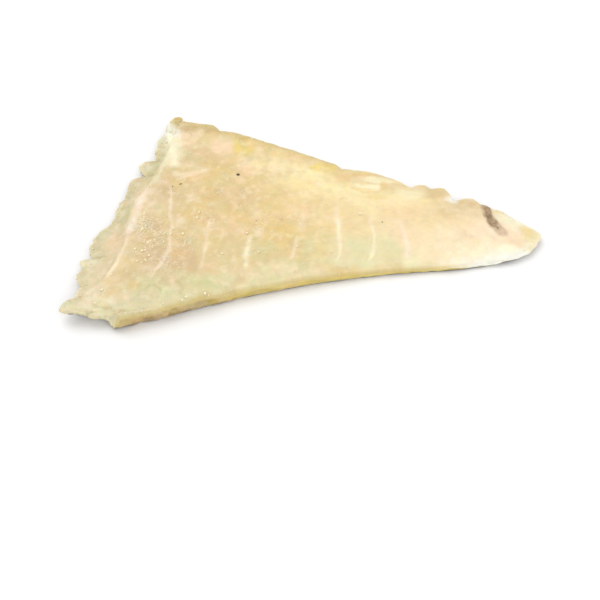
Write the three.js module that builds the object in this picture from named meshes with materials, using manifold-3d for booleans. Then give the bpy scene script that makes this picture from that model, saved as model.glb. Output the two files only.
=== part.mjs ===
// A piece of dry salt cod: the tail end of a fillet, lying on its skin side.
// Millimetres, +Z up. X runs from the ragged cut to the tail tip, Y from the trimmed front side to the back rim.
// The origin is the middle of the bounding box, on the surface that the piece lies on.
import * as THREE from "three";
import Module from "manifold-3d";
import { mergeVertices } from "three/addons/utils/BufferGeometryUtils.js";

// Corners and gentle bends of the four sides, seen from above
const frontSide = [[-84, -17.5], [-67.5, -12.3], [-46, -5.4], [-19, 2.4], [13.5, 9.6], [46, 14.3], [75, 16.8], [99, 21.2]];
const backSide = [[-63.8, 107.6], [-42.5, 101.8], [-15, 94.3], [14.8, 82.1], [44, 71.1], [66, 62.7], [84, 55.5], [99, 46.9]];
const cutSide = [
  [-84, -17.5], [-94.5, -13], [-104.5, -10.6], [-103, 1], [-95.6, 17.7],
  [-87.8, 43.5], [-75.4, 69.6], [-66.8, 96], [-63.8, 107.6],
];
const tipSide = [[99, 21.2], [106, 24.2], [110.5, 28.4], [113.8, 34], [112.4, 37.2], [107.6, 40.7], [99, 46.9]];

// Flake ends along the ragged cut, from the front corner to the back corner.
// width runs along the cut, dip is how far the edge stands out where the flake end starts,
// reach is how far it stands out beyond that, peak is where, and raise is how much higher it lies.
const flakeEnds = [
  { width: 3, dip: 0, reach: 0, peak: 0.5, raise: 0 },
  { width: 9.4, dip: -1.9, reach: 0.9, peak: 0.6, raise: 0.3 },
  { width: 8.1, dip: -0.2, reach: 0.3, peak: 0.5, raise: 0 },
  { width: 7.2, dip: 0.7, reach: 2.7, peak: 0.45, raise: 0.3 },
  { width: 8.8, dip: -1.2, reach: 0.1, peak: 0.5, raise: 0 },
  { width: 9.4, dip: -1.2, reach: 2.2, peak: 0.45, raise: 0.2 },
  { width: 7.3, dip: 4.8, reach: 5.4, peak: 0.7, raise: 0 },
  { width: 22.1, dip: 0.2, reach: 5.2, peak: 0.36, raise: 0.8 },
  { width: 10, dip: 1.3, reach: 0.3, peak: 0.7, raise: 0 },
  { width: 6.2, dip: 2.3, reach: 0.4, peak: 0.6, raise: 0.3 },
  { width: 16.6, dip: 3.2, reach: 4, peak: 0.64, raise: 0.1 },
  { width: 10.6, dip: 1.3, reach: 4.5, peak: 0.42, raise: 0.7 },
  { width: 3.8, dip: 0.8, reach: 0.1, peak: 0.5, raise: 0 },
  { width: 5.4, dip: 1.2, reach: 1.1, peak: 0.4, raise: 0 },
  { width: 9.1, dip: 2.4, reach: 1.5, peak: 0.45, raise: 0.4 },
  { width: 6, dip: 1, reach: 1.1, peak: 0.5, raise: 0 },
  { width: 3, dip: 0.8, reach: 0.6, peak: 0.6, raise: 0.2 },
];
// Lobes and nicks of the back rim, from the ragged cut to the tip
const rimLobes = [
  { width: 4.2, dip: 0.9, reach: 2.4, peak: 0.4 },
  { width: 20.3, dip: 1.6, reach: 2, peak: 0.76 },
  { width: 24.5, dip: -0.2, reach: 1.1, peak: 0.45 },
  { width: 37, dip: -0.8, reach: 0.3, peak: 0.5 },
  { width: 4.3, dip: -0.9, reach: 0, peak: 0.5 },
  { width: 35.7, dip: -3.2, reach: 3, peak: 0.5 },
  { width: 8.5, dip: -2.4, reach: 2.4, peak: 0.45 },
  { width: 10.5, dip: 0.6, reach: 5.4, peak: 0.62 },
  { width: 13.7, dip: -4.3, reach: 3.3, peak: 0.65 },
  { width: 6.3, dip: 0.1, reach: 1.1, peak: 0.6 },
  { width: 9, dip: 0.2, reach: 0.9, peak: 0.4 },
];
const lobeRoundness = { start: 0.65, end: 0.9 }; // below 1 a lobe has a full shoulder there
const flakeEndFade = 11; // the ragged edge dies out over about this distance inwards
const rimFade = 8;

// Heights above the table
const size = {
  frontAtCut: 9.8, // trimmed side, at the ragged cut
  frontAtTip: 2.8,
  backAtCut: 5.2, // natural rim of the fillet
  backAtTip: 2.6,
  crownAtCut: 5.6, // the middle stands above the line from front to back
  crownAtTip: 1,
  thinEdge: 2.8, // thickness of the flake ends along the ragged cut
};
const taper = { front: 0.85, crown: 0.7, crownLean: 0.8 }; // powers that shape how the heights change

// The cut slants: thin flake ends, a crest some way in, then a slow rise to the full height
const crest = {
  inFront: 10.4, inBack: 4.2, narrowsFrom: 0.42, narrowsOver: 0.2,
  step: 1.3, stepWidth: 2.6, stepFrom: 0.05, stepOver: 0.14, // the step dies out in the front corner
};
const rise = { quick: 0.55, beyondCrest: 4, slowOver: 36 };
const frontKept = { share: 0.08, over: 5 }; // near the trimmed side the height is kept up to the cut
const raiseFade = 9;
const crease = { depth: 0.6, half: 1.7, length: 9 }; // between neighbouring flake ends

// White seams between the flakes: where each crosses the middle of the piece
const seams = [-80.5, -60.8, -41.9, -22, -1, 18.3, 34.3, 49.8, 65, 79, 92];
const seamBend = {
  frontFrom: 29, // Y below which a seam leans to the cut
  frontLean: 12,
  frontOver: 30,
  lateralLine: 0.63, // share of the width where a seam turns towards the tip
  backLean: 70,
  fullWidth: 120,
};
const flakeSwell = { height: 0.2, fadesFrom: 0.6, fadesOver: 0.3 }; // each flake is a low pillow

// Gentle unevenness: sine waves over the plan, each bent by a slower one
const waves = [
  { height: 0.34, alongX: 0.088, alongY: 0, bend: 1.7, bendX: 0, bendY: 0.059, phase: 0 },
  { height: 0.3, alongX: 0, alongY: 0.11, bend: 1.3, bendX: 0.051, bendY: 0, phase: 2 },
  { height: 0.16, alongX: 0.233, alongY: 0.169, bend: 0.8, bendX: 0, bendY: 0.13, phase: 0 },
];

// Folds and lifted scraps on the flesh side: two ends, half width and height
const folds = [
  { from: [-65.5, 101], to: [-60.5, 79], half: 2.6, height: 1.1 },
  { from: [-59, 102.5], to: [-43, 99.5], half: 2.6, height: 0.9 },
  { from: [27, 67], to: [40, 62.5], half: 1.9, height: 0.9 },
  { from: [-102.5, -10], to: [-91.5, 2.5], half: 2.6, height: 0.9 },
  { from: [88.8, 52], to: [96.5, 36.5], half: 1.8, height: 0.8 },
  { from: [-60, 63], to: [-46, 70.6], half: 1.6, height: 0.5 },
];

// How far the underside stands off the table near its edges, and how far in from each edge
const lift = {
  cut: 1.6, cutDepth: 15,
  flap: 4.2, flapFrom: 0.015, flapTo: 0.3, flapFullness: 0.7, // the front corner curls up
  back: 1, backDepth: 7,
  front: 0.5, frontDepth: 4,
  tip: 1.6, tipDepth: 17,
};

// How the top edge is rounded: how far it drops and how far in that starts
const rounding = {
  front: { drop: 1.3, over: 1.8 },
  back: { drop: 1.2, over: 3 },
  cut: { drop: 0.8, over: 1.5 },
  tip: { drop: 0.8, over: 2.5 },
};
const leastThickness = 1.5;
const wall = { swell: 0.07, tuck: 0.5 }; // the sides bulge, then tuck in at the bottom

const saltGrains = { seed: 4711, small: 0.8, large: 1.5, standing: 0.05, flattest: 0.6, tilt: 0.25 };
// Groups of grains: how many, the shares u and v of the middle, and how far they spread about it
const saltGroups = [
  { count: 18, u: 0.13, v: 0.37, spreadU: 0.06, spreadV: 0.12 }, // crusted patch next to the first seams
  { count: 5, u: 0.21, v: 0.42, spreadU: 0.05, spreadV: 0.12 },
  { count: 5, u: 0.35, v: 0.33, spreadU: 0.06, spreadV: 0.22 },
  { count: 4, u: 0.15, v: 0.02, spreadU: 0.1, spreadV: 0.012 }, // along the trimmed side
  { count: 2, u: 0.06, v: 0.17, spreadU: 0.03, spreadV: 0.08 }, // front corner
  { count: 5, u: 0.55, v: 0.35, spreadU: 0.22, spreadV: 0.28 },
];

const cellSize = 2.8;
const rimCells = [0.9, 2.2]; // narrower cells along the sides end at these distances
const wallRows = 2;
const undersideRings = [0.04, 0.1, 0.22]; // how far in each ring lies, as a share

const clamp01 = (t) => Math.min(1, Math.max(0, t));
const mix = (a, b, t) => a + (b - a) * t;
const smooth = (t) => clamp01(t) ** 2 * (3 - 2 * clamp01(t));
const bell = (distance, half) => Math.exp(-((distance / half) ** 2));

const sideCurve = (points) => new THREE.SplineCurve(points.map(([x, y]) => new THREE.Vector2(x, y)));
const frontCurve = sideCurve(frontSide);
const backCurve = sideCurve(backSide);
const cutCurve = sideCurve(cutSide);
const tipCurve = sideCurve(tipSide);
const bodyLength = frontCurve.getLength();
const totalWidth = (lobes) => lobes.reduce((sum, lobe) => sum + lobe.width, 0);
const cutLength = totalWidth(flakeEnds);

// The lobe at a share of a ragged side, how far into it that is, and the dip where it ends
function lobeAt(lobes, share) {
  let along = clamp01(share) * totalWidth(lobes);
  let k = 0;
  while (k < lobes.length - 1 && along > lobes[k].width) {
    along -= lobes[k].width;
    k += 1;
  }
  const t = clamp01(along / lobes[k].width);
  return { lobe: lobes[k], t, nextDip: (lobes[k + 1] ?? lobes[k]).dip };
}

// How far the ragged side stands out from its smooth curve
function raggedReach(lobes, share) {
  const { lobe, t, nextDip } = lobeAt(lobes, share);
  const turned = t ** (Math.log(0.5) / Math.log(lobe.peak));
  const roundness = mix(lobeRoundness.start, lobeRoundness.end, t);
  return mix(lobe.dip, nextDip, t) + lobe.reach * Math.max(0, Math.sin(Math.PI * turned)) ** roundness;
}

const cutReach = (u, v) => raggedReach(flakeEnds, v) * bell(u * bodyLength, flakeEndFade);

// Plan position of the sheet at u (cut to tip) and v (front to back): a patch between
// the four sides, with the ragged edges dying out inwards
function planPoint(u, v) {
  const [f, b] = [frontCurve.getPointAt(u), backCurve.getPointAt(u)];
  const [c, t] = [cutCurve.getPointAt(v), tipCurve.getPointAt(v)];
  const [c0, c1] = [cutCurve.getPointAt(0), cutCurve.getPointAt(1)];
  const [t0, t1] = [tipCurve.getPointAt(0), tipCurve.getPointAt(1)];
  const patch = (k) =>
    mix(f[k], b[k], v) + mix(c[k], t[k], u) - mix(mix(c0[k], t0[k], u), mix(c1[k], t1[k], u), v);
  const cutTurn = cutCurve.getTangentAt(v);
  const rimTurn = backCurve.getTangentAt(u);
  const out = cutReach(u, v);
  const rimOut = raggedReach(rimLobes, u) * bell((1 - v) * f.distanceTo(b), rimFade);
  return new THREE.Vector2(
    patch("x") - cutTurn.y * out - rimTurn.y * rimOut,
    patch("y") + cutTurn.x * out + rimTurn.x * rimOut,
  );
}

// Depth of the creases that run inwards from between the flake ends
function creaseDepth(v, fromCut) {
  let along = 0;
  let depth = 0;
  for (const flake of flakeEnds.slice(0, -1)) {
    along += flake.width;
    depth += bell(v * cutLength - along, crease.half);
  }
  return crease.depth * depth * (1 - smooth(fromCut / crease.length));
}

// Number of the flake at a plan position, a whole number on each seam
function flakeNumber(x, y, v, width) {
  const toFront = Math.max(0, seamBend.frontFrom - y) / seamBend.frontOver;
  const toBack = clamp01((v - seamBend.lateralLine) / (1 - seamBend.lateralLine));
  const middle = x + seamBend.frontLean * toFront ** 2 - seamBend.backLean * toBack * (width / seamBend.fullWidth);
  const passed = seams.findLastIndex((seam) => seam <= middle);
  const k = Math.min(Math.max(passed, 0), seams.length - 2);
  return k + (middle - seams[k]) / (seams[k + 1] - seams[k]);
}

function unevenness(x, y) {
  return waves.reduce((sum, w) => {
    const bent = w.bend * Math.sin(w.bendX * x + w.bendY * y);
    return sum + w.height * Math.sin(w.alongX * x + w.alongY * y + bent + w.phase);
  }, 0);
}

// Height of the underside: flat on the table but for the lifted edges
function undersideHeight(u, v, width) {
  const fromCut = u * bodyLength;
  const flap = Math.sin(Math.PI * clamp01((v - lift.flapFrom) / (lift.flapTo - lift.flapFrom))) ** lift.flapFullness;
  const cut = (lift.cut + lift.flap * flap) * (1 - smooth(fromCut / lift.cutDepth));
  const back = lift.back * (1 - smooth(((1 - v) * width) / lift.backDepth));
  const front = lift.front * (1 - smooth((v * width) / lift.frontDepth));
  const atTip = lift.tip * (1 - smooth(((1 - u) * bodyLength) / lift.tipDepth));
  return Math.max(cut, back, front, atTip);
}

// Height of the folds at a plan position, each a ridge about its line
function foldHeight(x, y) {
  const here = new THREE.Vector2(x, y);
  let height = 0;
  for (const fold of folds) {
    const start = new THREE.Vector2(...fold.from);
    const line = new THREE.Vector2(...fold.to).sub(start);
    const along = clamp01(here.clone().sub(start).dot(line) / line.lengthSq());
    height += fold.height * bell(here.distanceTo(start.addScaledVector(line, along)), fold.half);
  }
  return height;
}

const edgeDrop = (distance, edge) => edge.drop * (1 - clamp01(distance / edge.over)) ** 2;

// Height of the flesh side
function fleshHeight(u, v, x, y, width) {
  const fromCut = u * bodyLength;
  const front = mix(size.frontAtCut, size.frontAtTip, u ** taper.front);
  const back = mix(size.backAtCut, size.backAtTip, u);
  const crown = mix(size.crownAtCut, size.crownAtTip, u ** taper.crown);
  const body = mix(front, back, smooth(v)) + crown * Math.sin(Math.PI * v ** taper.crownLean) + unevenness(x, y);
  const underside = undersideHeight(u, v, width);

  const crestAt = mix(crest.inFront, crest.inBack, smooth((v - crest.narrowsFrom) / crest.narrowsOver));
  const fromSmoothCut = fromCut - cutReach(u, v);
  const quickRise = smooth(fromCut / (crestAt + rise.beyondCrest));
  const keepFront = 1 - smooth(v / frontKept.share);
  const ramp = Math.max(
    mix(smooth(fromCut / rise.slowOver), quickRise, rise.quick),
    keepFront * smooth(fromCut / frontKept.over),
  );
  const pastCrest = smooth((fromSmoothCut - crestAt) / crest.stepWidth + 0.5);
  const stepHere = crest.step * smooth((v - crest.stepFrom) / crest.stepOver);
  const terrace = stepHere * (1 - pastCrest) * smooth(fromCut / crestAt);

  const { lobe, t } = lobeAt(flakeEnds, v);
  const raised = lobe.raise * Math.sqrt(Math.sin(Math.PI * t)) * (1 - smooth(fromCut / raiseFade));
  const flake = flakeNumber(x, y, v, width);
  const pillow = flakeSwell.height * -Math.cos(2 * Math.PI * flake) * pastCrest;
  const swell = pillow * (1 - smooth((v - flakeSwell.fadesFrom) / flakeSwell.fadesOver));

  const height = mix(underside + size.thinEdge, body, ramp) - terrace + raised + swell
    + foldHeight(x, y) - creaseDepth(v, fromCut) * (1 - keepFront);
  const rounded = height - edgeDrop(v * width, rounding.front) - edgeDrop((1 - v) * width, rounding.back)
    - edgeDrop(fromCut, rounding.cut) - edgeDrop((1 - u) * bodyLength, rounding.tip);
  return Math.max(rounded, underside + leastThickness);
}

function surfacePoint(u, v) {
  const plan = planPoint(u, v);
  const width = frontCurve.getPointAt(u).distanceTo(backCurve.getPointAt(u));
  return {
    x: plan.x,
    y: plan.y,
    top: fleshHeight(u, v, plan.x, plan.y, width),
    bottom: undersideHeight(u, v, width),
  };
}

// Grid stations as shares of a side: whole cells on both sides of each lobe's peak, and narrower ones at both ends
function gridStations(lobes) {
  const length = totalWidth(lobes);
  const places = [];
  let start = 0;
  for (const lobe of lobes) {
    for (const stretch of [lobe.peak * lobe.width, (1 - lobe.peak) * lobe.width]) {
      const count = Math.max(1, Math.round(stretch / cellSize));
      for (let k = 0; k < count; k++) places.push(start + (k / count) * stretch);
      start += stretch;
    }
  }
  const inner = places.filter((place) => Math.min(place, length - place) > rimCells.at(-1) + cellSize / 4);
  const far = rimCells.map((place) => length - place).reverse();
  return [0, ...rimCells, ...inner, ...far, length].map((place) => place / length);
}

const alongStations = gridStations(rimLobes);
const acrossStations = gridStations(flakeEnds);

// Grid places (i, j) once round the outline, anticlockwise from above
function outlinePlaces() {
  const [lastI, lastJ] = [alongStations.length - 1, acrossStations.length - 1];
  const places = [];
  for (let i = 0; i < lastI; i++) places.push([i, 0]);
  for (let j = 0; j < lastJ; j++) places.push([lastI, j]);
  for (let i = lastI; i > 0; i--) places.push([i, lastJ]);
  for (let j = lastJ; j > 0; j--) places.push([0, j]);
  return places;
}

function filletGeometry() {
  const positions = [];
  const faces = [];
  const put = (x, y, z) => positions.push(x, y, z) / 3 - 1;
  const quad = (a, b, c, d) => faces.push(a, b, c, a, c, d);

  // Flesh side
  const top = alongStations.map((u) =>
    acrossStations.map((v) => {
      const p = surfacePoint(u, v);
      return put(p.x, p.y, p.top);
    }),
  );
  for (let i = 0; i < alongStations.length - 1; i++)
    for (let j = 0; j < acrossStations.length - 1; j++)
      quad(top[i][j], top[i + 1][j], top[i + 1][j + 1], top[i][j + 1]);

  // Walls, bulging a little between the two edges
  const places = outlinePlaces();
  const outline = places.map(([i, j]) => [alongStations[i], acrossStations[j]]);
  const count = outline.length;
  let ring = places.map(([i, j]) => top[i][j]);
  const joinRings = (upper, lower) => {
    for (let k = 0; k < count; k++) {
      const n = (k + 1) % count;
      quad(upper[k], lower[k], lower[n], upper[n]);
    }
  };
  for (let row = 1; row <= wallRows; row++) {
    const t = row / wallRows;
    const next = outline.map(([u, v], k) => {
      const p = surfacePoint(u, v);
      const [before, after] = [outline.at(k - 1), outline[(k + 1) % count]].map(([a, b]) => planPoint(a, b));
      const out = new THREE.Vector2(after.y - before.y, before.x - after.x).normalize();
      const bulge = wall.swell * (p.top - p.bottom) * Math.sin(Math.PI * t) - wall.tuck * t ** 3;
      return put(p.x + out.x * bulge, p.y + out.y * bulge, mix(p.top, p.bottom, t));
    });
    joinRings(ring, next);
    ring = next;
  }

  // Underside: rings towards the middle, then one flat face on the table
  for (const inset of undersideRings) {
    const next = outline.map(([u, v]) => {
      const p = surfacePoint(mix(u, 0.5, inset), mix(v, 0.5, inset));
      return put(p.x, p.y, inset === undersideRings.at(-1) ? 0 : p.bottom);
    });
    joinRings(ring, next);
    ring = next;
  }
  const flat = ring.map((k) => new THREE.Vector2(positions[3 * k], positions[3 * k + 1]));
  for (const [a, b, c] of THREE.ShapeUtils.triangulateShape(flat, [])) faces.push(ring[a], ring[c], ring[b]);

  return new THREE.BufferGeometry()
    .setAttribute("position", new THREE.Float32BufferAttribute(positions, 3))
    .setIndex(faces);
}

// Coarse salt left on the flesh: small blocks sunk about half way
function saltGeometries() {
  let state = saltGrains.seed;
  const draw = () => (state = (state * 16807) % 2147483647) / 2147483647;
  const turn = () => saltGrains.tilt * (2 * draw() - 1);
  const flat = () => mix(saltGrains.flattest, 1, draw());
  const grains = [];
  for (const group of saltGroups) {
    for (let k = 0; k < group.count; k++) {
      const u = group.u + group.spreadU * (draw() - draw());
      const v = group.v + group.spreadV * (draw() - draw());
      const edge = mix(saltGrains.small, saltGrains.large, draw() ** 2);
      const grain = new THREE.BoxGeometry(edge, edge * flat(), edge * flat());
      grain.rotateX(turn()).rotateY(turn()).rotateZ(Math.PI * draw());
      const p = surfacePoint(u, v);
      grain.translate(p.x, p.y, p.top + saltGrains.standing * edge);
      grains.push(grain);
    }
  }
  return grains;
}

const wasm = await Module();
wasm.setup();

function solidFrom(geometry) {
  const bare = geometry.clone();
  bare.deleteAttribute("normal");
  bare.deleteAttribute("uv");
  const merged = mergeVertices(bare, 1e-4);
  return new wasm.Manifold(
    new wasm.Mesh({
      numProp: 3,
      vertProperties: new Float32Array(merged.attributes.position.array),
      triVerts: new Uint32Array(merged.index.array),
    }),
  );
}

function geometryFrom(solid) {
  const mesh = solid.getMesh();
  return new THREE.BufferGeometry()
    .setAttribute("position", new THREE.Float32BufferAttribute(mesh.vertProperties, 3))
    .setIndex(new THREE.BufferAttribute(mesh.triVerts, 1));
}

let codSolid = solidFrom(filletGeometry());
for (const grain of saltGeometries()) codSolid = codSolid.add(solidFrom(grain));
const codGeometry = geometryFrom(codSolid);
codGeometry.computeBoundingBox();
const box = codGeometry.boundingBox;
codGeometry.translate(-(box.min.x + box.max.x) / 2, -(box.min.y + box.max.y) / 2, -box.min.z);
codGeometry.computeVertexNormals();

const flesh = new THREE.MeshStandardMaterial({ color: 0xead6a6, roughness: 0.55, metalness: 0 });
const codPiece = new THREE.Mesh(codGeometry, flesh);
codPiece.name = "salt_cod_piece";

const model = new THREE.Group();
model.add(codPiece);
export default model;
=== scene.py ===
import math

import bpy
import numpy as np
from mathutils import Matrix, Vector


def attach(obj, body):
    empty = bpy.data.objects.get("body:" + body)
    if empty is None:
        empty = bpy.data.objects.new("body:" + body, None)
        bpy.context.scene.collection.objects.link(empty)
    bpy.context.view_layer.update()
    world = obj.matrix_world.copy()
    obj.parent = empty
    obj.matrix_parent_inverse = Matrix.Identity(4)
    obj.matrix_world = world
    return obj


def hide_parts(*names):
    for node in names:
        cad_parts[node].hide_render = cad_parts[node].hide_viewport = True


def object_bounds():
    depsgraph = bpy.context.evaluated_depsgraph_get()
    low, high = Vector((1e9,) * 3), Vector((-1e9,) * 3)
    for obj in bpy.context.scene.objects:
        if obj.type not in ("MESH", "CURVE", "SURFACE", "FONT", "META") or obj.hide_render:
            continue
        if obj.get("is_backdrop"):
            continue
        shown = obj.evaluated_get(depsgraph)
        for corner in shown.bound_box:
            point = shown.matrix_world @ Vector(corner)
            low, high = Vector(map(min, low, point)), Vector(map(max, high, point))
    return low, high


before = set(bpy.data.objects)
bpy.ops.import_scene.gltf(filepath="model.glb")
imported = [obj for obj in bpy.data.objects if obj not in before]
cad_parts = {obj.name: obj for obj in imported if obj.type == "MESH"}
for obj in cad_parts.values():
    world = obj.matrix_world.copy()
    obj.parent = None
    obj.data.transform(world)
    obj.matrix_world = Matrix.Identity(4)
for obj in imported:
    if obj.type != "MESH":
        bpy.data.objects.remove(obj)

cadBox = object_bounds()
print("frame loaded")

# A piece of dry salt cod, worked out in millimetres from the point that the camera looks at:
# X runs from the ragged cut to the tail tip, Y from the trimmed front side to the back rim, Z up.


# A value kept between 0 and 1
def clamp01(t):
    return np.clip(t, 0, 1)


# Straight mix: a where t is 0, b where t is 1
def blend(a, b, t):
    return a + (b - a) * t


# Smooth step: three t squared less two t cubed, level at both ends
def smooth(t):
    return clamp01(t) ** 2 * (3 - 2 * clamp01(t))


# Smooth step up from a start, over a stretch
def rising(value, start, over):
    return smooth((value - start) / over)


# Smooth step down to an end, over a stretch
def falling(value, end, over):
    return smooth((end - value) / over)


# Bell curve: 1 in the middle and 0.37 at the half width
def bell(distance, half):
    return np.exp(-((distance / half) ** 2))


lattice = {"seed": 811, "cells": 97, "turn": 0.7, "shiftX": 13.7, "shiftY": 5.3}
noiseTable = np.random.default_rng(lattice["seed"]).random((lattice["cells"], lattice["cells"])) * 2 - 1


# Value noise: random numbers on a turned lattice of that size, blended smoothly between its points
def noiseAt(x, y, size, seed):
    turn = lattice["turn"] + seed
    gx = (x * math.cos(turn) + y * math.sin(turn)) / size + lattice["shiftX"] * seed
    gy = (y * math.cos(turn) - x * math.sin(turn)) / size + lattice["shiftY"] * seed
    ix, iy = np.floor(gx).astype(int), np.floor(gy).astype(int)
    sx, sy = smooth(gx - ix), smooth(gy - iy)
    corner = lambda i, j: noiseTable[(ix + i) % lattice["cells"], (iy + j) % lattice["cells"]]
    near = blend(corner(0, 0), corner(1, 0), sx)
    far = blend(corner(0, 1), corner(1, 1), sx)
    return blend(near, far, sy)


# Sum of value noises, each half as large and half as strong as the one before
def roughness(x, y, size, seed, octaves=3):
    return sum(noiseAt(x, y, size / 2**k, seed + k) / 2**k for k in range(octaves))


# That sum times a strength: a setting holds strength, size, seed and octaves
def relief(setting, x, y):
    return setting[0] * roughness(x, y, *setting[1:])


sides = {
    "front": [(-84, -17.5), (-67.5, -12.3), (-46, -5.4), (-19, 2.4), (13.5, 9.6), (46, 14.3), (75, 16.8),
              (99, 21.2)],
    "back": [(-63.8, 107.6), (-42.5, 101.8), (-15, 94.3), (14.8, 82.1), (44, 71.1), (66, 62.7), (84, 55.5),
             (99, 46.9)],
    "cut": [(-84, -17.5), (-94.5, -13), (-104.5, -10.6), (-103, 1), (-95.6, 17.7),
            (-87.8, 43.5), (-75.4, 69.6), (-66.8, 96), (-63.8, 107.6)],
    "tip": [(99, 21.2), (106, 24.2), (110.5, 28.4), (113.8, 34), (112.4, 37.2), (107.6, 40.7), (99, 46.9)],
}
curveSteps = 4000


# A Catmull-Rom curve: cubics through the points, with each slope half the way between the two
# neighbours, and the share of the length so far at each step
def sideCurve(points):
    p = np.array(points, float)
    padded = np.vstack([p[:1], p, p[-1:]])
    t = np.linspace(0, len(p) - 1, curveSteps + 1)
    k = np.minimum(t.astype(int), len(p) - 2)
    w = (t - k)[:, None]
    a, b, c, d = (padded[k + i] for i in range(4))
    leave, arrive = (c - a) / 2, (d - b) / 2
    cubic = 2 * b - 2 * c + leave + arrive
    square = 3 * c - 3 * b - 2 * leave - arrive
    xy = cubic * w**3 + square * w**2 + leave * w + b
    length = np.concatenate([[0], np.cumsum(np.hypot(*np.diff(xy, axis=0).T))])
    return {"xy": xy, "share": length / length[-1], "length": length[-1]}


# The place at a share of a curve's length, read off between its steps
def placeOn(curve, share):
    return np.stack([np.interp(share, curve["share"], curve["xy"][:, k]) for k in (0, 1)], axis=-1)


curves = {name: sideCurve(points) for name, points in sides.items()}
bodyLength = curves["front"]["length"]


# Unit direction along a side, from two places a small share apart
def directionOn(name, share, near=1e-3):
    ahead = placeOn(curves[name], np.minimum(share + near, 1))
    step = ahead - placeOn(curves[name], np.maximum(share - near, 0))
    return step / np.linalg.norm(step, axis=-1, keepdims=True)


# Flake ends along the cut: width, dip at the start, reach beyond that, place of the peak, how much raised
flakeEnds = np.array([
    (3, 0, 0, 0.5, 0), (9.4, -1.9, 0.9, 0.6, 0.3), (8.1, -0.2, 0.3, 0.5, 0), (7.2, 0.7, 2.7, 0.45, 0.3),
    (8.8, -1.2, 0.1, 0.5, 0), (9.4, -1.2, 2.2, 0.45, 0.2), (7.3, 4.8, 5.4, 0.7, 0),
    (22.1, 0.2, 5.2, 0.36, 0.8), (10, 1.3, 0.3, 0.7, 0), (6.2, 2.3, 0.4, 0.6, 0.3),
    (16.6, 3.2, 4, 0.64, 0.1), (10.6, 1.3, 4.5, 0.42, 0.7), (3.8, 0.8, 0.1, 0.5, 0),
    (5.4, 1.2, 1.1, 0.4, 0), (9.1, 2.4, 1.5, 0.45, 0.4), (6, 1, 1.1, 0.5, 0), (3, 0.8, 0.6, 0.6, 0.2),
])
# Lobes of the back rim: width, dip, reach, peak
rimLobes = np.array([
    (4.2, 0.9, 2.4, 0.4), (20.3, 1.6, 2, 0.76), (24.5, -0.2, 1.1, 0.45), (37, -0.8, 0.3, 0.5),
    (4.3, -0.9, 0, 0.5), (35.7, -3.2, 3, 0.5), (8.5, -2.4, 2.4, 0.45), (10.5, 0.6, 5.4, 0.62),
    (13.7, -4.3, 3.3, 0.65), (6.3, 0.1, 1.1, 0.6), (9, 0.2, 0.9, 0.4),
])
ragged = {
    "startRoundness": 0.65, "endRoundness": 0.9, "cutFade": 11, "rimFade": 8, "fineFade": 2.2,
    # fine tears of the cut, nibbles of the rim and notches of the front: size, seed, octaves, and how deep
    "tears": (2.6, 2.9, 4), "nibbles": (3.4, 4.1, 4), "notches": (4.6, 6.4, 4),
    "fineCut": 0.6, "fineRim": 0.3, "fineFront": 0.3, "inwards": 0.6,
    "frontCalms": 0.7, "frontCalmsOver": 0.6,
}
cutArc = flakeEnds[:, 0].sum()


# Number of the lobe at a share of an edge, and how far along the lobe that is
def lobeAt(lobes, share):
    starts = np.concatenate([[0], np.cumsum(lobes[:, 0])])
    along = clamp01(share) * starts[-1]
    k = np.clip(np.searchsorted(starts, along) - 1, 0, len(lobes) - 1)
    return k, clamp01((along - starts[k]) / lobes[k, 0])


# Dip of the edge plus a skewed half sine for each lobe
def raggedReach(lobes, share):
    k, t = lobeAt(lobes, share)
    nextDip = lobes[np.minimum(k + 1, len(lobes) - 1), 1]
    turned = t ** (math.log(0.5) / np.log(lobes[k, 3]))
    roundness = blend(ragged["startRoundness"], ragged["endRoundness"], t)
    arch = np.clip(np.sin(math.pi * turned), 0, 1) ** roundness
    return blend(lobes[k, 1], nextDip, t) + lobes[k, 2] * arch


# The flake ends' reach, dying out as a bell away from the cut
def cutReach(u, v):
    return raggedReach(flakeEnds, v) * bell(u * bodyLength, ragged["cutFade"])


# Plan position at u (cut to tip) and v (front to back): a patch between the four sides, which is
# the two straight mixes of opposite sides less that of the corners, pushed out by lobes and tears
def planPoint(u, v):
    across, along = v[..., None], u[..., None]
    front, back = placeOn(curves["front"], u), placeOn(curves["back"], u)
    cut, tip = placeOn(curves["cut"], v), placeOn(curves["tip"], v)
    ends = [blend(placeOn(curves["cut"], end), placeOn(curves["tip"], end), along) for end in (0, 1)]
    plan = blend(front, back, across) + blend(cut, tip, along) - blend(*ends, across)
    width = np.linalg.norm(front - back, axis=-1)
    arcU, arcV = u * bodyLength, v * cutArc
    tears = (roughness(arcV, 0 * arcV, *ragged["tears"]) - ragged["inwards"]) * ragged["fineCut"]
    nibbles = (roughness(arcU, 0 * arcU, *ragged["nibbles"]) - ragged["inwards"]) * ragged["fineRim"]
    calmer = 1 - ragged["frontCalms"] * smooth(u / ragged["frontCalmsOver"])
    notches = roughness(arcU, 0 * arcU, *ragged["notches"]) * ragged["fineFront"] * calmer
    fine = lambda distance: bell(distance, ragged["fineFade"])
    fromBack = (1 - v) * width
    cutOut = cutReach(u, v) + tears * fine(arcU)
    rimOut = raggedReach(rimLobes, u) * bell(fromBack, ragged["rimFade"]) + nibbles * fine(fromBack)
    frontOut = notches * fine(v * width)
    cutTurn, rimTurn, frontTurn = directionOn("cut", v), directionOn("back", u), directionOn("front", u)
    x = plan[..., 0] - cutTurn[..., 1] * cutOut - rimTurn[..., 1] * rimOut + frontTurn[..., 1] * frontOut
    y = plan[..., 1] + cutTurn[..., 0] * cutOut + rimTurn[..., 0] * rimOut - frontTurn[..., 0] * frontOut
    return x, y, width


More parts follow.
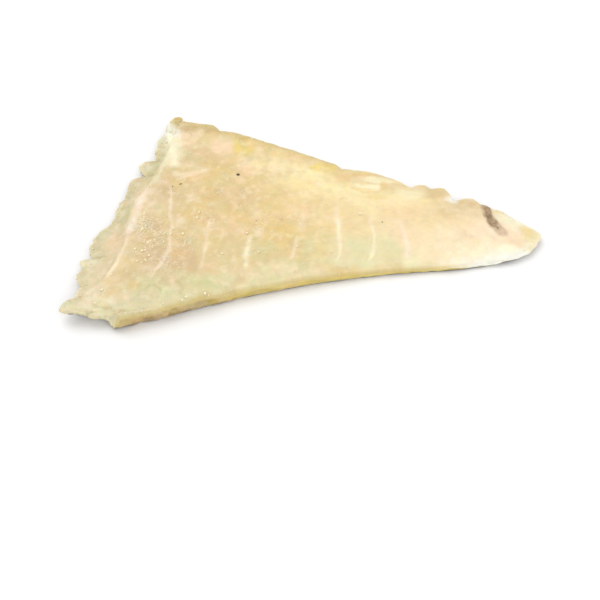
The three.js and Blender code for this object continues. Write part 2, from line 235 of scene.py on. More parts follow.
form = {  # pairs: start and stretch
    "frontAtCut": 9.8, "frontAtTip": 2.8, "frontTaper": 0.85, "backAtCut": 5.2, "backAtTip": 2.6,
    "crownAtCut": 5.6, "crownAtTip": 1, "crownTaper": 0.7, "crownLean": 0.8,
    "thinEdge": 2.8, "leastThickness": 1.5, "skin": 0.4,
    "crestFront": 10.4, "crestBack": 4.2, "crestNarrows": (0.42, 0.2), "crestRise": 0.25,
    "step": 1.3, "stepWidth": 1.8, "stepFrom": (0.05, 0.14),
    "quickRise": 0.55, "riseBeyondCrest": 4, "slowRiseOver": 36, "frontKeptShare": 0.08, "frontKeptOver": 5,
    "raiseFade": 9, "raiseFullness": 0.35, "creaseDepth": 0.6, "creaseHalf": 1.1, "creaseLength": 9,
    # strength, size, seed and octaves
    "crestUneven": (0.9, 11, 7.7, 2), "creaseWander": (0.5, 5, 9.1, 2), "lumps": (0.22, 13, 0.4, 3),
    "wrinkles": (0.13, 3.4, 3.6, 3), "grit": (0.05, 1.1, 5.9, 2), "wear": (0.45, 4, 8.6, 3),
    "wrinkledStrip": 1.6, "wearCalms": 0.6, "wearCalmsOver": 0.5,
}
waves = [  # height, along X, along Y, bend, bend along X, bend along Y, phase
    (0.34, 0.088, 0, 1.7, 0, 0.059, 0), (0.3, 0, 0.11, 1.3, 0.051, 0, 2),
    (0.16, 0.233, 0.169, 0.8, 0, 0.13, 0),
]
folds = [  # from, to, half width, height
    ((-65.5, 101), (-60.5, 79), 2.2, 1.1), ((-59, 102.5), (-43, 99.5), 2.4, 0.9),
    ((27, 67), (40, 62.5), 1.5, 0.9), ((-102.5, -10), (-91.5, 2.5), 2.4, 0.9),
    ((88.8, 52), (96.5, 36.5), 1.4, 0.8), ((-60, 63), (-46, 70.6), 1.3, 0.5),
]
lift = {
    "cut": 1.6, "cutDepth": 15, "flap": 4.2, "flapFrom": 0.015, "flapTo": 0.3, "flapFullness": 0.7,
    "back": 1, "backDepth": 7, "front": 0.5, "frontDepth": 4, "tip": 1.6, "tipDepth": 17,
}
rounding = {"front": (1.5, 2.6), "back": (1.2, 3), "cut": (0.8, 1.5), "tip": (0.8, 2.5)}  # drop, over
seams = {  # the pillows between them follow the same rule as the CAD model
    "at": np.array([-80.5, -60.8, -41.9, -22, -1, 18.3, 34.3, 49.8, 65, 79, 92]),
    "frontFrom": 29, "frontLean": 12, "frontOver": 30, "lateralLine": 0.63, "backLean": 70, "fullWidth": 120,
    "swell": 0.2, "groove": 0.2, "fade": (0.6, 0.3),
}
lines = {  # name: colour, strength, half width, how broken it is, places from its upper end to its lower end
    # The crest lines are pale tissue and salt, and partly a painted highlight where the raised crest catches
    # light
    "crestTop": ("cream", 0.8, 2.6, 0.3, [(-64.5, 98), (-62.8, 89), (-62.2, 80), (-60.8, 73)]),
    "crestUpper": ("green", 0.95, 1.7, 0.3, [(-65.6, 86), (-66.6, 77.5), (-68.2, 69.5), (-72, 61.5)]),
    "crestMiddle": ("white", 0.75, 2.1, 0.35, [(-71.4, 62), (-75.3, 54.3), (-76.8, 47), (-78.6, 40),
                                               (-80.6, 29.2)]),
    "crestLower": ("pink", 0.85, 1.2, 0.4, [(-79.6, 34), (-81.7, 24.2), (-84.2, 16.2), (-87.3, 9.5),
                                            (-90.4, 4)]),
    "strand": ("green", 0.6, 0.8, 0.5, [(-69, 51), (-72, 47.5), (-74.4, 42), (-75.3, 35), (-75, 31)]),
    "second": ("pink", 0.95, 0.7, 0.35, [(-62.8, 65), (-61.3, 47.7), (-60.6, 33.2), (-60.2, 24.9),
                                         (-61.4, 19.8), (-63.9, 12.5), (-67.2, 6.2), (-69.8, 2.1)]),
    "third": ("pink", 0.85, 0.7, 0.5, [(-41.5, 44), (-42.4, 39), (-42.8, 32.2), (-44.6, 20.9),
                                       (-45.7, 13.5), (-47.8, 7.9)]),
    "fourth": ("cream", 1, 1.05, 0.4, [(-22.4, 32), (-23.4, 25.5), (-24.4, 19), (-25.9, 10.7)]),
    "fifth": ("pink", 0.85, 0.9, 0.4, [(-0.4, 32), (-1.8, 27), (-3.3, 22.3), (-4.2, 15.7)]),
    "upperFifth": ("pink", 0.45, 1, 0.5, [(2.1, 45), (0.9, 39), (-0.4, 32)]),
    "sixth": ("cream", 0.95, 0.75, 0.3, [(17.6, 43.7), (18.1, 36.2), (19.1, 25.4), (18.2, 19.6), (16, 16.6)]),
    "seventh": ("cream", 1, 0.75, 0.3, [(33.6, 39.5), (34.3, 34), (34.5, 29), (34, 22.3), (31.6, 16)]),
    "eighth": ("pink", 1, 1.1, 0.3, [(47.4, 41.8), (49.4, 33.6), (50.3, 26.6), (50, 18.4)]),
    "ninth": ("pink", 0.45, 1, 0.5, [(64.4, 43.3), (65.3, 36.1), (64.2, 23.4)]),
    "tenth": ("pink", 0.4, 1, 0.5, [(79, 33), (79.5, 26.2), (79.4, 20.5)]),
    "streak": ("pink", 0.6, 1.2, 0.4, [(-60.8, 65.8), (-54, 69), (-47, 71.2), (-42, 73.5)]),
    "streakBelow": ("pink", 0.3, 0.8, 0.5, [(-59, 64), (-53, 65.6), (-47.5, 68.2)]),
    "liftedFlake": ("cream", 0.9, 1.5, 0.3, [(26.6, 66), (29.5, 63.8), (34, 63.2), (39.3, 63.6)]),
    "flakeShadow": ("amber", 0.5, 0.8, 0.4, [(24.5, 63.4), (28.5, 61.2), (32.5, 59.5), (38.5, 60.2)]),
    "upperPink": ("pink", 0.6, 1, 0.5, [(-62.1, 72.5), (-58, 69.6), (-53.1, 69.6)]),
    "upperSixth": ("pink", 0.45, 1.1, 0.5, [(18, 55.7), (17.3, 45.6), (17.7, 37)]),
    "upperSeventh": ("pink", 0.45, 1.1, 0.5, [(34.5, 45.2), (33.7, 37.7), (35, 31.8)]),
    "branch": ("pink", 0.5, 0.8, 0.5, [(-73, 46), (-75, 32.2), (-75.5, 25)]),
    "crestRidge": ("pink", 0.5, 2.4, 0.5, [(-88, 5), (-92, -2), (-95, -6), (-98, -11)]),
    "crestFront": ("green", 0.8, 1.6, 0.4, [(-104.5, -12.5), (-98, -9.6), (-94, -10.4), (-89, -13.5),
                                            (-83, -17)]),
    "curl": ("olive", 0.9, 0.7, 0.3, [(-71, -1.4), (-67.8, 0.9), (-64.6, 0.3), (-61.6, -3)]),
    "curlBeyond": ("olive", 0.8, 0.7, 0.3, [(-57, 3.4), (-53.7, -0.3), (-54, -4.6)]),
    "curlMiddle": ("olive", 0.6, 0.7, 0.3, [(-24, 29), (-20.3, 28.9), (-16.6, 30.4)]),
}
lineLook = {
    # strength, size, seed and octaves
    "bendX": (0.7, 8, 2.2, 2), "fineBendX": (0.16, 1.7, 4.7, 2),
    "bendY": (0.7, 8, 6.2, 2), "fineBendY": (0.16, 1.7, 9.4, 2),
    "endFade": 0.15, "gapSize": 5, "gapSeed": 0.3, "gaps": 0.9,
    "widthSize": 6, "widthSeed": 0.6, "uneven": 0.45,
    "colours": {"pink": 0.85, "green": 0.85, "white": 0.9, "olive": 0.7, "amber": 0.8, "cream": 0.9},
}


# Height of the underside above the table: for each lifted edge a smooth fall away from it, and the
# largest of them; the flap at the cut adds a full half sine
def undersideHeight(u, v, width):
    flapAt = clamp01((v - lift["flapFrom"]) / (lift["flapTo"] - lift["flapFrom"]))
    flap = np.clip(np.sin(math.pi * flapAt), 0, 1) ** lift["flapFullness"]
    fall = lambda distance, depth: 1 - smooth(distance / lift[depth])
    cut = (lift["cut"] + lift["flap"] * flap) * fall(u * bodyLength, "cutDepth")
    back = lift["back"] * fall((1 - v) * width, "backDepth")
    front = lift["front"] * fall(v * width, "frontDepth")
    tip = lift["tip"] * fall((1 - u) * bodyLength, "tipDepth")
    return np.maximum.reduce([cut, back, front, tip])


# Distance to a straight piece, and the share along it: the foot of the perpendicular kept on the piece
def straightField(x, y, start, end):
    dx, dy = end[0] - start[0], end[1] - start[1]
    along = clamp01(((x - start[0]) * dx + (y - start[1]) * dy) / (dx * dx + dy * dy))
    return np.hypot(x - start[0] - along * dx, y - start[1] - along * dy), along


# Distance to a smooth route and the share along it, from its nearest short piece
def routeField(x, y, places):
    count = 3 * len(places)
    knots = placeOn(sideCurve(places), np.linspace(0, 1, count + 1))
    distance, share = np.full(x.shape, 1e9), np.zeros(x.shape)
    for k in range(count):
        away, along = straightField(x, y, knots[k], knots[k + 1])
        share = np.where(away < distance, (k + along) / count, share)
        distance = np.minimum(away, distance)
    return distance, share


# How strongly each pale line shows: a bell across it, faded at both ends and broken up by noise
def lineFields(x, y):
    bentX = x + relief(lineLook["bendX"], x, y) + relief(lineLook["fineBendX"], x, y)
    bentY = y + relief(lineLook["bendY"], x, y) + relief(lineLook["fineBendY"], x, y)
    fields = {}
    for n, (name, (_, strength, half, broken, places)) in enumerate(lines.items()):
        distance, share = routeField(bentX, bentY, places)
        ends = smooth(share / lineLook["endFade"]) * smooth((1 - share) / lineLook["endFade"])
        gaps = smooth(0.5 + lineLook["gaps"] * roughness(x, y, lineLook["gapSize"], n + lineLook["gapSeed"]))
        uneven = lineLook["uneven"] * roughness(x, y, lineLook["widthSize"], n + lineLook["widthSeed"])
        fields[name] = strength * ends * (1 - broken * gaps) * bell(distance, half * (1 + uneven))
    return fields


# The largest of the fields whose names pass the test
def strongest(fields, test):
    return np.maximum.reduce([field for name, field in fields.items() if test(name)])


# Flake number, whole on each seam. A seam bends to the cut by a square near the front, and leans
# straight to the tip beyond the lateral line
def flakeAt(x, y, v, width):
    toFront = np.maximum(0, seams["frontFrom"] - y) / seams["frontOver"]
    toBack = clamp01((v - seams["lateralLine"]) / (1 - seams["lateralLine"]))
    middle = x + seams["frontLean"] * toFront**2 - seams["backLean"] * toBack * width / seams["fullWidth"]
    k = np.clip(np.searchsorted(seams["at"], middle, side="right") - 1, 0, len(seams["at"]) - 2)
    return k + (middle - seams["at"][k]) / (seams["at"][k + 1] - seams["at"][k])


# Height of the flesh away from its edges: a smooth mix from front to back, a crown and soft waves
def bodyHeight(u, v, x, y):
    front = blend(form["frontAtCut"], form["frontAtTip"], u ** form["frontTaper"])
    back = blend(form["backAtCut"], form["backAtTip"], u)
    crown = blend(form["crownAtCut"], form["crownAtTip"], u ** form["crownTaper"])
    body = blend(front, back, smooth(v)) + crown * np.sin(math.pi * v ** form["crownLean"])
    for height, alongX, alongY, bend, bendX, bendY, phase in waves:
        body = body + height * np.sin(alongX * x + alongY * y + bend * np.sin(bendX * x + bendY * y) + phase)
    return body


# The rise from the cut: a slow and a quick smooth step mixed, but full height near the trimmed side,
# and a thin step in front of the crest, which runs at a wandering distance from the cut
def riseFromCut(u, v, x, y, keepFront):
    fromCut = u * bodyLength
    narrows = rising(v, *form["crestNarrows"])
    crestAt = blend(form["crestFront"], form["crestBack"], narrows) + relief(form["crestUneven"], y, x)
    quick = smooth(fromCut / (crestAt + form["riseBeyondCrest"]))
    rise = np.maximum(blend(smooth(fromCut / form["slowRiseOver"]), quick, form["quickRise"]),
                      keepFront * smooth(fromCut / form["frontKeptOver"]))
    pastCrest = smooth((fromCut - cutReach(u, v) - crestAt) / form["stepWidth"] + 0.5)
    stepHere = form["step"] * rising(v, *form["stepFrom"])
    return rise, pastCrest, stepHere * (1 - pastCrest) * smooth(fromCut / crestAt)


# Raised flake ends as full half sines, and bells for the creases between them, fading from the cut
def flakesAtCut(u, v, x, y, keepFront):
    fromCut = u * bodyLength
    k, t = lobeAt(flakeEnds, v)
    raised = flakeEnds[k, 4] * np.clip(np.sin(math.pi * t), 0, 1) ** form["raiseFullness"]
    arc = v * cutArc + relief(form["creaseWander"], x, y)
    toCrease = np.abs(arc[..., None] - np.cumsum(flakeEnds[:-1, 0])).min(axis=-1)
    creases = bell(toCrease, form["creaseHalf"]) * (1 - smooth(fromCut / form["creaseLength"]))
    return raised * (1 - smooth(fromCut / form["raiseFade"])), creases * (1 - keepFront)


# How far an edge is rounded down at a distance from it: a parabola that ends level
def edgeDrop(distance, edge):
    drop, over = rounding[edge]
    return drop * (1 - clamp01(distance / over)) ** 2


# The whole sheet at u and v: plan, top and bottom heights, and the fields that the colours need.
# The top is the underside's thin edge mixed into the body's height, with relief on it and rounded edges
def surfaceAt(u, v):
    x, y, width = planPoint(u, v)
    fromCut, fromFront, fromBack = u * bodyLength, v * width, (1 - v) * width
    bottom = undersideHeight(u, v, width)
    keepFront = 1 - smooth(v / form["frontKeptShare"])
    rise, pastCrest, terrace = riseFromCut(u, v, x, y, keepFront)
    raised, creases = flakesAtCut(u, v, x, y, keepFront)

    fade = 1 - rising(v, *seams["fade"])
    swell = -seams["swell"] * np.cos(2 * math.pi * flakeAt(x, y, v, width)) * pastCrest * fade
    pale = lineFields(x, y)
    seam = strongest(pale, lambda name: not name.startswith("crest"))
    crest = strongest(pale, lambda name: name.startswith("crest"))
    folded = sum(height * bell(straightField(x, y, a, b)[0], half) for a, b, half, height in folds)
    strip = 1 - pastCrest

    top = blend(bottom + form["thinEdge"], bodyHeight(u, v, x, y), rise) - terrace + raised + swell + folded
    top = top - form["creaseDepth"] * creases - seams["groove"] * seam * pastCrest + form["crestRise"] * crest
    wrinkles = relief(form["wrinkles"], x, y) * (1 + form["wrinkledStrip"] * strip)
    top = top + relief(form["lumps"], x, y) + wrinkles + relief(form["grit"], x, y)
    worn = 1 + relief(form["wear"], x, y) * (1 - form["wearCalms"] * smooth(u / form["wearCalmsOver"]))
    top = top - edgeDrop(fromFront, "front") * worn - edgeDrop(fromBack, "back")
    top = top - edgeDrop(fromCut, "cut") - edgeDrop((1 - u) * bodyLength, "tip")
    top = np.maximum(top, bottom + form["leastThickness"])
    return {
        "x": x, "y": y, "u": u, "v": v, "top": top, "bottom": bottom, "width": width, "fromCut": fromCut,
        "fromFront": fromFront, "fromBack": fromBack, "strip": strip, "crease": creases,
        **{colour: strongest(pale, lambda name: lines[name][0] == colour) for colour in lineLook["colours"]},
    }


# Grid shares that lie closer together near both ends: t less a sine
def closerAtEnds(count, amount):
    t = np.linspace(0, 1, count)
    return t - amount * np.sin(2 * math.pi * t) / (2 * math.pi)


grid = {"along": 330, "across": 245, "closer": 0.35, "wallRows": 8}
shares = [closerAtEnds(grid[way], grid["closer"]) for way in ("along", "across")]
sheet = surfaceAt(*np.meshgrid(*shares, indexing="ij"))
boxMiddle = np.array([3.114, 46.565, 0])  # middle of the CAD model's box as seen from here
print("sheet worked out")


# Places once round the outline of a grid, anticlockwise from above
def outlineOf(rows, columns):
    i, j = rows - 1, columns - 1
    downI, downJ = np.arange(i, 0, -1), np.arange(j, 0, -1)
    return (np.concatenate([np.arange(i), np.full(j, i), downI, np.zeros(j, int)]),
            np.concatenate([np.zeros(i, int), np.arange(j), np.full(i, j), downJ]))


rimI, rimJ = outlineOf(grid["along"], grid["across"])
rim = {key: field[rimI, rimJ] for key, field in sheet.items()}
rimCount = len(rimI)


# Outward direction in plan along a closed ring, square to the step between points a few places apart
def outwardOf(x, y, reach=4):
    dx, dy = np.roll(x, -reach) - np.roll(x, reach), np.roll(y, -reach) - np.roll(y, reach)
    length = np.hypot(dx, dy)
    return dy / length, -dx / length


outX, outY = outwardOf(rim["x"], rim["y"])
rimArc = np.concatenate([[0], np.cumsum(np.hypot(np.diff(rim["x"]), np.diff(rim["y"])))])


# Quads between two closed rings, each point joined to the next
def ringFaces(upper, lower):
    return np.stack([upper, lower, np.roll(lower, -1), np.roll(upper, -1)], axis=1)


# Quads of a grid of point numbers, each from four neighbours
def gridFaces(n):
    return np.stack([n[:-1, :-1], n[1:, :-1], n[1:, 1:], n[:-1, 1:]], axis=-1).reshape(-1, 4)


# Puts whole arrays into a mesh object: points in millimetres, moved to the frame's origin and
# turned into metres, quads, and any larger faces
def makePiece(name, points, quads, caps, material):
    mesh = bpy.data.meshes.new(name)
    places = (points - boxMiddle) / 1000
    mesh.from_pydata(places.tolist(), [], quads.tolist() + [list(map(int, cap)) for cap in caps])
    mesh.polygons.foreach_set("use_smooth", np.ones(len(mesh.polygons), bool))
    piece = bpy.data.objects.new(name, mesh)
    bpy.context.scene.collection.objects.link(piece)
    mesh.materials.append(material)
    mesh.update()
    return piece


# One number for each point, for the materials to read
def addNumbers(piece, name, values):
    piece.data.attributes.new(name, "FLOAT", "POINT").data.foreach_set("value", values.astype(np.float32))


# One colour for each point, for the materials to read
def addColours(piece, name, colours):
    rgba = np.ones((len(colours), 4), np.float32)
    rgba[:, :3] = colours
    piece.data.attributes.new(name, "FLOAT_COLOR", "POINT").data.foreach_set("color", rgba.ravel())


# Screen colour from 0 to 255 as the linear colour that shaders use: a straight foot, then a power of 2.4
def linear(colour):
    c = np.array(colour, float) / 255
    return np.where(c <= 0.04045, c / 12.92, ((c + 0.055) / 1.055) ** 2.4)


flesh = {
    # butter is a pale butter colour that the patches also use as a painted soft highlight
    "base": (228, 205, 157), "pink": (251, 221, 186), "rose": (220, 192, 152), "butter": (254, 236, 184),
    "amber": (232, 202, 132), "mustard": (238, 214, 128), "rimAmber": (208, 186, 120), "tan": (218, 192, 144),
    # milk is a pale flesh colour that the patches also use for painted highlights
    "orange": (236, 200, 148), "olive": (205, 200, 158), "green": (214, 213, 160), "milk": (253, 245, 210),
    "greenCream": (231, 221, 179), "mint": (222, 224, 184), "white": (255, 251, 236),
    "light": (253, 232, 196), "paleOlive": (224, 216, 176), "rimTan": (200, 174, 122),
    "pale": (254, 238, 210), "creaseShade": (206, 186, 138),
    "pinkLine": (252, 234, 208), "greenLine": (234, 228, 192), "whiteLine": (254, 239, 224),
    "oliveLine": (196, 184, 130), "amberLine": (226, 190, 118), "creamLine": (255, 246, 212),
    "crystal": (252, 236, 198), "crustGap": (200, 168, 122), "stain": (158, 130, 100),
    "side": (208, 186, 102), "sideDark": (152, 126, 76), "sidePaintedLight": (236, 216, 130),
    "sidePaleLit": (255, 252, 234), "under": (214, 202, 176),
    "crumb": (244, 226, 192), "crumbDark": (226, 206, 160), "freshCrumb": (240, 222, 196),
    # colour, middle X and Y, half sizes along X and Y, strength
    "patches": [
        # The butter patches, here and below, are a pale butter colour and a painted soft highlight
        ("butter", 30, 44, 30, 16, 0.3), ("amber", -18, 56, 26, 20, 0.35),
        ("amber", 6, 42, 24, 14, 0.25), ("light", 62, 40, 16, 16, 0.5), ("light", 88, 33, 18, 14, 0.9),
        ("light", 66, 30, 10, 10, 0.6), ("light", 103, 36, 9, 9, 0.6),
        ("paleOlive", -100, 8, 4, 18, 0.6), ("paleOlive", -90, 40, 4, 12, 0.6),
        ("greenCream", -79, -9, 11, 5, 0.9), ("greenCream", -59, -4, 12, 5, 0.9),
        ("greenCream", -33, 3, 16, 4.5, 0.9), ("greenCream", -7, 10, 16, 4.5, 0.9),
        ("greenCream", 23, 17, 13, 2.8, 0.8), ("greenCream", -88, -14, 6, 4, 0.8),
        ("tan", -69, 24, 8, 10, 0.7), ("rose", -72, 32, 5, 6, 0.4), ("rose", -64, 14, 8, 6, 0.6),
        ("rose", -52, 15, 6, 7.5, 0.7), ("rose", -66, 58, 3.2, 6, 0.8), ("tan", -74, 6, 8, 4, 0.5),
        ("pink", -77, 59, 2.3, 5, 0.5), ("tan", -48, 82, 9, 5, 0.6), ("tan", -34, 52, 10, 7, 0.5),
        ("amber", -28, 46, 8, 6, 0.3), ("amber", -44, 54, 5.5, 3.4, 0.35), ("tan", -58, 50, 5, 8, 0.3),
        ("pink", -39, 89, 6, 4.5, 0.9), ("pink", -58, 97, 3.2, 2.4, 0.8), ("pink", -26, 75, 4.6, 4, 0.8),
        ("rimAmber", -62, 107, 3, 2.4, 1), ("rimTan", -51, 101, 11, 2.6, 0.95),
        ("white", -65, 97, 4.4, 6, 1), ("milk", -62, 88, 3.4, 6, 0.8), ("amber", -29, 92, 2.4, 4.5, 0.9),
        ("amber", -27, 85, 3.7, 2.8, 0.7), ("green", -67, 48, 1.4, 2.8, 0.5),
        ("green", -42, 2, 8.5, 2.8, 0.6), ("green", -68, 4, 5.5, 2.8, 0.6),
        ("orange", -84, -3, 2.3, 2.2, 0.5), ("amber", -75, 1, 1.8, 2.2, 0.6),
        ("amber", -88, -9, 1.4, 1.1, 0.6), ("orange", -89, 28, 2.8, 3.4, 0.6),
        ("tan", -85, 33, 3, 5, 0.8), ("tan", -96, -4, 5, 5, 0.4), ("milk", -94, -3, 2.6, 4, 0.5),
        # The milk patch at X -102 is a painted highlight on the flap's thin front edge
        ("milk", -102, -11, 3.2, 2.2, 0.6), ("milk", -98, 16, 3.7, 3.4, 0.6),
        ("olive", -102, 8, 1.4, 3.4, 0.6), ("rose", -78, 70, 2.6, 2.4, 0.6),
        ("butter", -14, 77, 8, 4, 0.8), ("butter", 2, 70, 10, 5, 0.9), ("butter", 8, 63, 9, 6, 0.9),
        ("butter", 24, 58, 13, 5, 0.7), ("butter", 40, 53, 10, 5, 0.6), ("butter", -2, 62, 10, 6, 0.4),
        ("butter", 52, 55, 8, 5, 0.5), ("amber", 11, 76.5, 5, 2.2, 0.9),
        ("rimTan", 32, 69.5, 8, 2.4, 0.6), ("pink", 1, 44, 4.6, 6.8, 0.4),
        ("pink", 49, 48, 7.4, 6.8, 0.5), ("pink", 45, 34, 5.5, 5, 0.4), ("amber", 12, 29, 3.7, 10, 0.4),
        ("amber", -9, 30, 7, 6.8, 0.45), ("green", 27, 25, 4, 3.4, 0.6), ("green", 41, 28, 4.4, 5, 0.6),
        ("green", 4, 23, 3.2, 3.4, 0.5), ("green", -18, 22, 6, 6, 0.4), ("tan", 62, 61, 6, 3.4, 0.7),
        ("tan", 79, 53, 5.5, 2.8, 0.8), ("pink", 81, 38, 6.4, 5.6, 0.7), ("pink", 99, 34, 5.5, 4.5, 0.6),
        # The milk and white patches along the tip's front edge, here and below, are paler flesh and painted
        # light on an edge that the lamps barely reach
        ("milk", 89, 23, 14, 5, 0.95), ("milk", 71, 19, 8, 3.4, 0.6), ("milk", 103, 44, 3.7, 2.8, 0.6),
        ("mustard", 109, 35.5, 3, 3.4, 0.5), ("amber", 82, 29, 3.7, 2.8, 0.25),
        ("tan", -51, 33, 4.6, 7.8, 0.45), ("mustard", -27.5, 89, 4, 6, 0.9),
        ("mustard", 10, 76, 4.1, 2.2, 0.8), ("tan", 72, 48, 4.6, 3.9, 0.6),
        ("pink", 47, 35, 6.4, 7.8, 0.5), ("light", 57, 24, 7.4, 5, 0.9), ("light", 60, 19, 14, 3, 0.6),
        ("amber", 30, 70, 9.2, 2.2, 0.6), ("milk", 96, 23, 10.1, 3.9, 0.9),
        ("white", 94, 21, 9.2, 2.2, 0.6), ("pink", 103, 29, 3.2, 2.8, 0.5),
        ("milk", 100, 46, 5.5, 2.2, 0.6), ("green", 27, 26, 3.2, 4.5, 0.3),
        ("green", 43, 24, 3.7, 6.2, 0.25), ("green", 4, 25, 2.3, 2.8, 0.6),
        ("orange", -85, 1, 2.8, 2.2, 0.5), ("tan", -26, 52, 5.5, 5.6, 0.5),
        ("pink", -56, 69, 7.4, 1.7, 0.6), ("paleOlive", -70, 88, 2.3, 3.9, 0.8),
        # The white patch at X 73.5 is a painted highlight beside the tabs
        ("white", 73.5, 56, 2.4, 2, 1), ("tan", 64, 61, 5.5, 2.8, 0.5), ("tan", 80, 54, 4.1, 2.2, 0.5),
        ("mustard", -7, 85, 8.3, 1.7, 0.5), ("pale", -52, 53, 1.8, 2.2, 0.5),
        ("pale", -21, 45, 2.3, 3.4, 0.4), ("pale", -19, 32, 1.8, 2.2, 0.8),
        ("pale", -41, 38, 0.9, 3.4, 0.5), ("pale", -56, 38, 2.3, 1.7, 0.5),
        ("pale", -27, 55, 1.4, 1.7, 0.5), ("rose", -66, 17, 4.6, 4.5, 0.5),
        ("green", -63, -2, 5.5, 2.8, 0.4), ("tan", 81, 47, 3.7, 1.7, 0.4), ("pink", -97, -6, 4, 5, 0.4),
        ("tan", -83, 30, 3, 12, 0.4), ("light", 38, 27, 12, 9, 0.35), ("light", 30, 50, 14, 10, 0.25),
        ("light", 80, 33, 12, 9, 0.3), ("white", 90, 18, 16, 2.6, 0.8), ("white", 101, 22, 10, 3, 0.7),
        # The milk patch at X 38 is a painted highlight on the lifted flake's back edge
        ("light", 110, 33, 4, 6, 0.5), ("milk", 38, 68.4, 9, 1.8, 0.85), ("amber", 108, 37, 3, 4, 0.6),
        ("orange", 101, 32, 4, 4, 0.3), ("butter", -11, 81, 10, 5, 0.4),
        ("mustard", 12, 76, 6, 2.8, 0.8), ("mustard", -28, 90, 3.4, 5, 0.7),
        ("orange", -7, 84, 9, 2.4, 0.6), ("orange", 26, 70, 6, 2.4, 0.5), ("butter", 9, 70, 4, 4, 0.6),
        ("amber", 40.5, 64, 1.4, 2.6, 0.5), ("amber", 35, 56.5, 5, 1.6, 0.5),
        ("white", -104, -1, 2.6, 5, 0.7), ("milk", -76, 77, 2.4, 3, 0.4),
        ("milk", -64, 105, 2.4, 2.4, 0.4), ("orange", -71, 31, 2, 3, 0.7),
        ("orange", -56, 19, 3.4, 5, 0.4), ("rose", -55, 8, 8, 5, 0.3), ("rose", -68, 54, 4, 6, 0.4),
        ("milk", 51, 18, 5, 2.6, 0.5), ("milk", 53, 60, 5, 4, 0.6), ("rimTan", -29, 94.5, 3, 2.5, 0.6),
        ("light", -55, 94, 6, 5, 0.5), ("tan", -57, 55, 12, 4, 0.35), ("tan", -24, 56, 8, 4, 0.2),
        ("amber", 0, 62, 8, 8, 0.25), ("pink", -87, 25, 4, 9, 0.45), ("pink", -93, 10, 5, 6, 0.4),
        ("green", -52, 4.5, 9, 3, 0.6), ("mint", 30, 23, 16, 8, 0.4), ("mint", 56, 17, 7, 2.5, 0.3),
        ("green", 2, 15, 9, 2.5, 0.4), ("amber", 70, 43, 12, 5, 0.25), ("amber", 46, 48, 8, 4, 0.25),
        ("light", 84, 25, 6, 4, 0.4), ("paleOlive", -103, -9, 4, 4, 0.6),
        ("milk", -86, -10, 6, 3.5, 0.35), ("paleOlive", -93, -1.5, 5, 3, 0.5),
        ("mint", -67, -4, 6, 3, 0.4), ("butter", -12, 80, 8, 6, 0.35), ("light", 76, 51, 7, 2, 0.3),
        ("greenCream", -13, 3, 8, 2.5, 0.5), ("mint", -46, -3, 12, 2.5, 0.35),
        ("tan", -68, 56, 4, 4, 0.35), ("tan", 6, 15, 5, 2.4, 0.3), ("rose", -58, 4, 4, 3, 0.4),
        ("milk", -13, 2, 4, 2, 0.4), ("light", 12, 39, 5, 4, 0.35), ("light", -11, 75, 6, 4, 0.4),
        ("milk", -80, 39, 2, 5, 0.4), ("amber", -49, 95, 5, 3, 0.3),
    ],
    "patchRagged": 0.4, "patchGrain": 1.4, "patchSeeds": (1.9, 8.3), "patchReach": 1.9, "patchSoft": 1.5,
    # colour, strength, how common, contrast, size, seed, octaves
    "clouds": [("pink", 0.4, 0.2, 0.8, 14, 6.3, 3), ("amber", 0.4, 0.2, 0.9, 12, 2.8, 3),
               ("green", 0.2, -0.1, 1, 10, 7.9, 3)],
    "stripClouds": [("rose", 0.5, -0.2, 1.2, 8, 5.2, 3)],
    "mottles": [("pink", 0.4, 0.2, 0.7, 5, 4.3, 4), ("tan", 0.45, 0.1, 0.7, 4.4, 1.6, 4),
                ("green", 0.3, 0.1, 0.7, 6, 9.5, 4), ("pale", 0.3, -0.1, 1.1, 2.2, 5.3, 3)],
    # X, and how bright red, green and blue are there
    "shades": [(-98, 0.94, 0.96, 0.99), (-80, 0.925, 0.955, 0.99), (-68, 0.925, 0.94, 0.945),
               (-45, 0.96, 0.95, 0.92), (-10, 0.975, 0.975, 0.935), (20, 1, 1.005, 0.98),
               (37, 1, 1.01, 0.975), (60, 0.99, 0.99, 0.95), (82, 0.99, 0.995, 1.01),
               (100, 1.025, 1.06, 1.13)],
    # middle X and Y, half sizes along X and Y, how strong
    "crust": [(-69, 27, 8, 11, 1), (-73, 38, 5, 7, 0.8), (-60, 12, 7, 6, 0.6), (-54, 24, 5, 5, 0.5),
              (-42, 41, 6, 4, 0.5), (-20, 38, 9, 6, 0.4), (-26, 11, 2, 4, 0.4), (-4, 38, 8, 5, 0.35),
              (-66, -13, 12, 2, 0.3), (-35, 58, 14, 8, 0.15)],
    "stainRoute": [(88.7, 54), (89.4, 48.6), (91, 43.6), (93, 39.6), (95.4, 36.4)],
    "stainStart": 2.4, "stainEnd": 3.8, "stainSoft": 2, "stainMean": 0.95, "stainFade": 0.65,
    "crustMean": 0.7, "stripWidth": 26, "stripOlive": 0.85, "calm": 0.7, "tears": 0.35,
    "cutMilkHighlight": 0.3, "cutHalf": 0.8, "rimMean": 0.75, "rimHalf": 3, "frontSide": 0.55, "frontHalf": 1.2,
    # start or end, and stretch
    "stainFades": (0.68, 0.34), "calmFrom": (0.4, 0.25), "rimUpTo": (0.62, 0.2), "frontUpTo": (0.9, 0.1),
    # strength, size, seed and octaves
    "stainBendX": (0.5, 3, 4.4, 3), "stainBendY": (0.5, 3, 8.4, 3), "stainUneven": (0.3, 2, 3.7, 3),
    "crustBroken": (0.6, 5, 6.9, 3), "rimBroken": (0.25, 9, 1.1, 3), "grain": (0.03, 2.2, 2.9, 3),
}


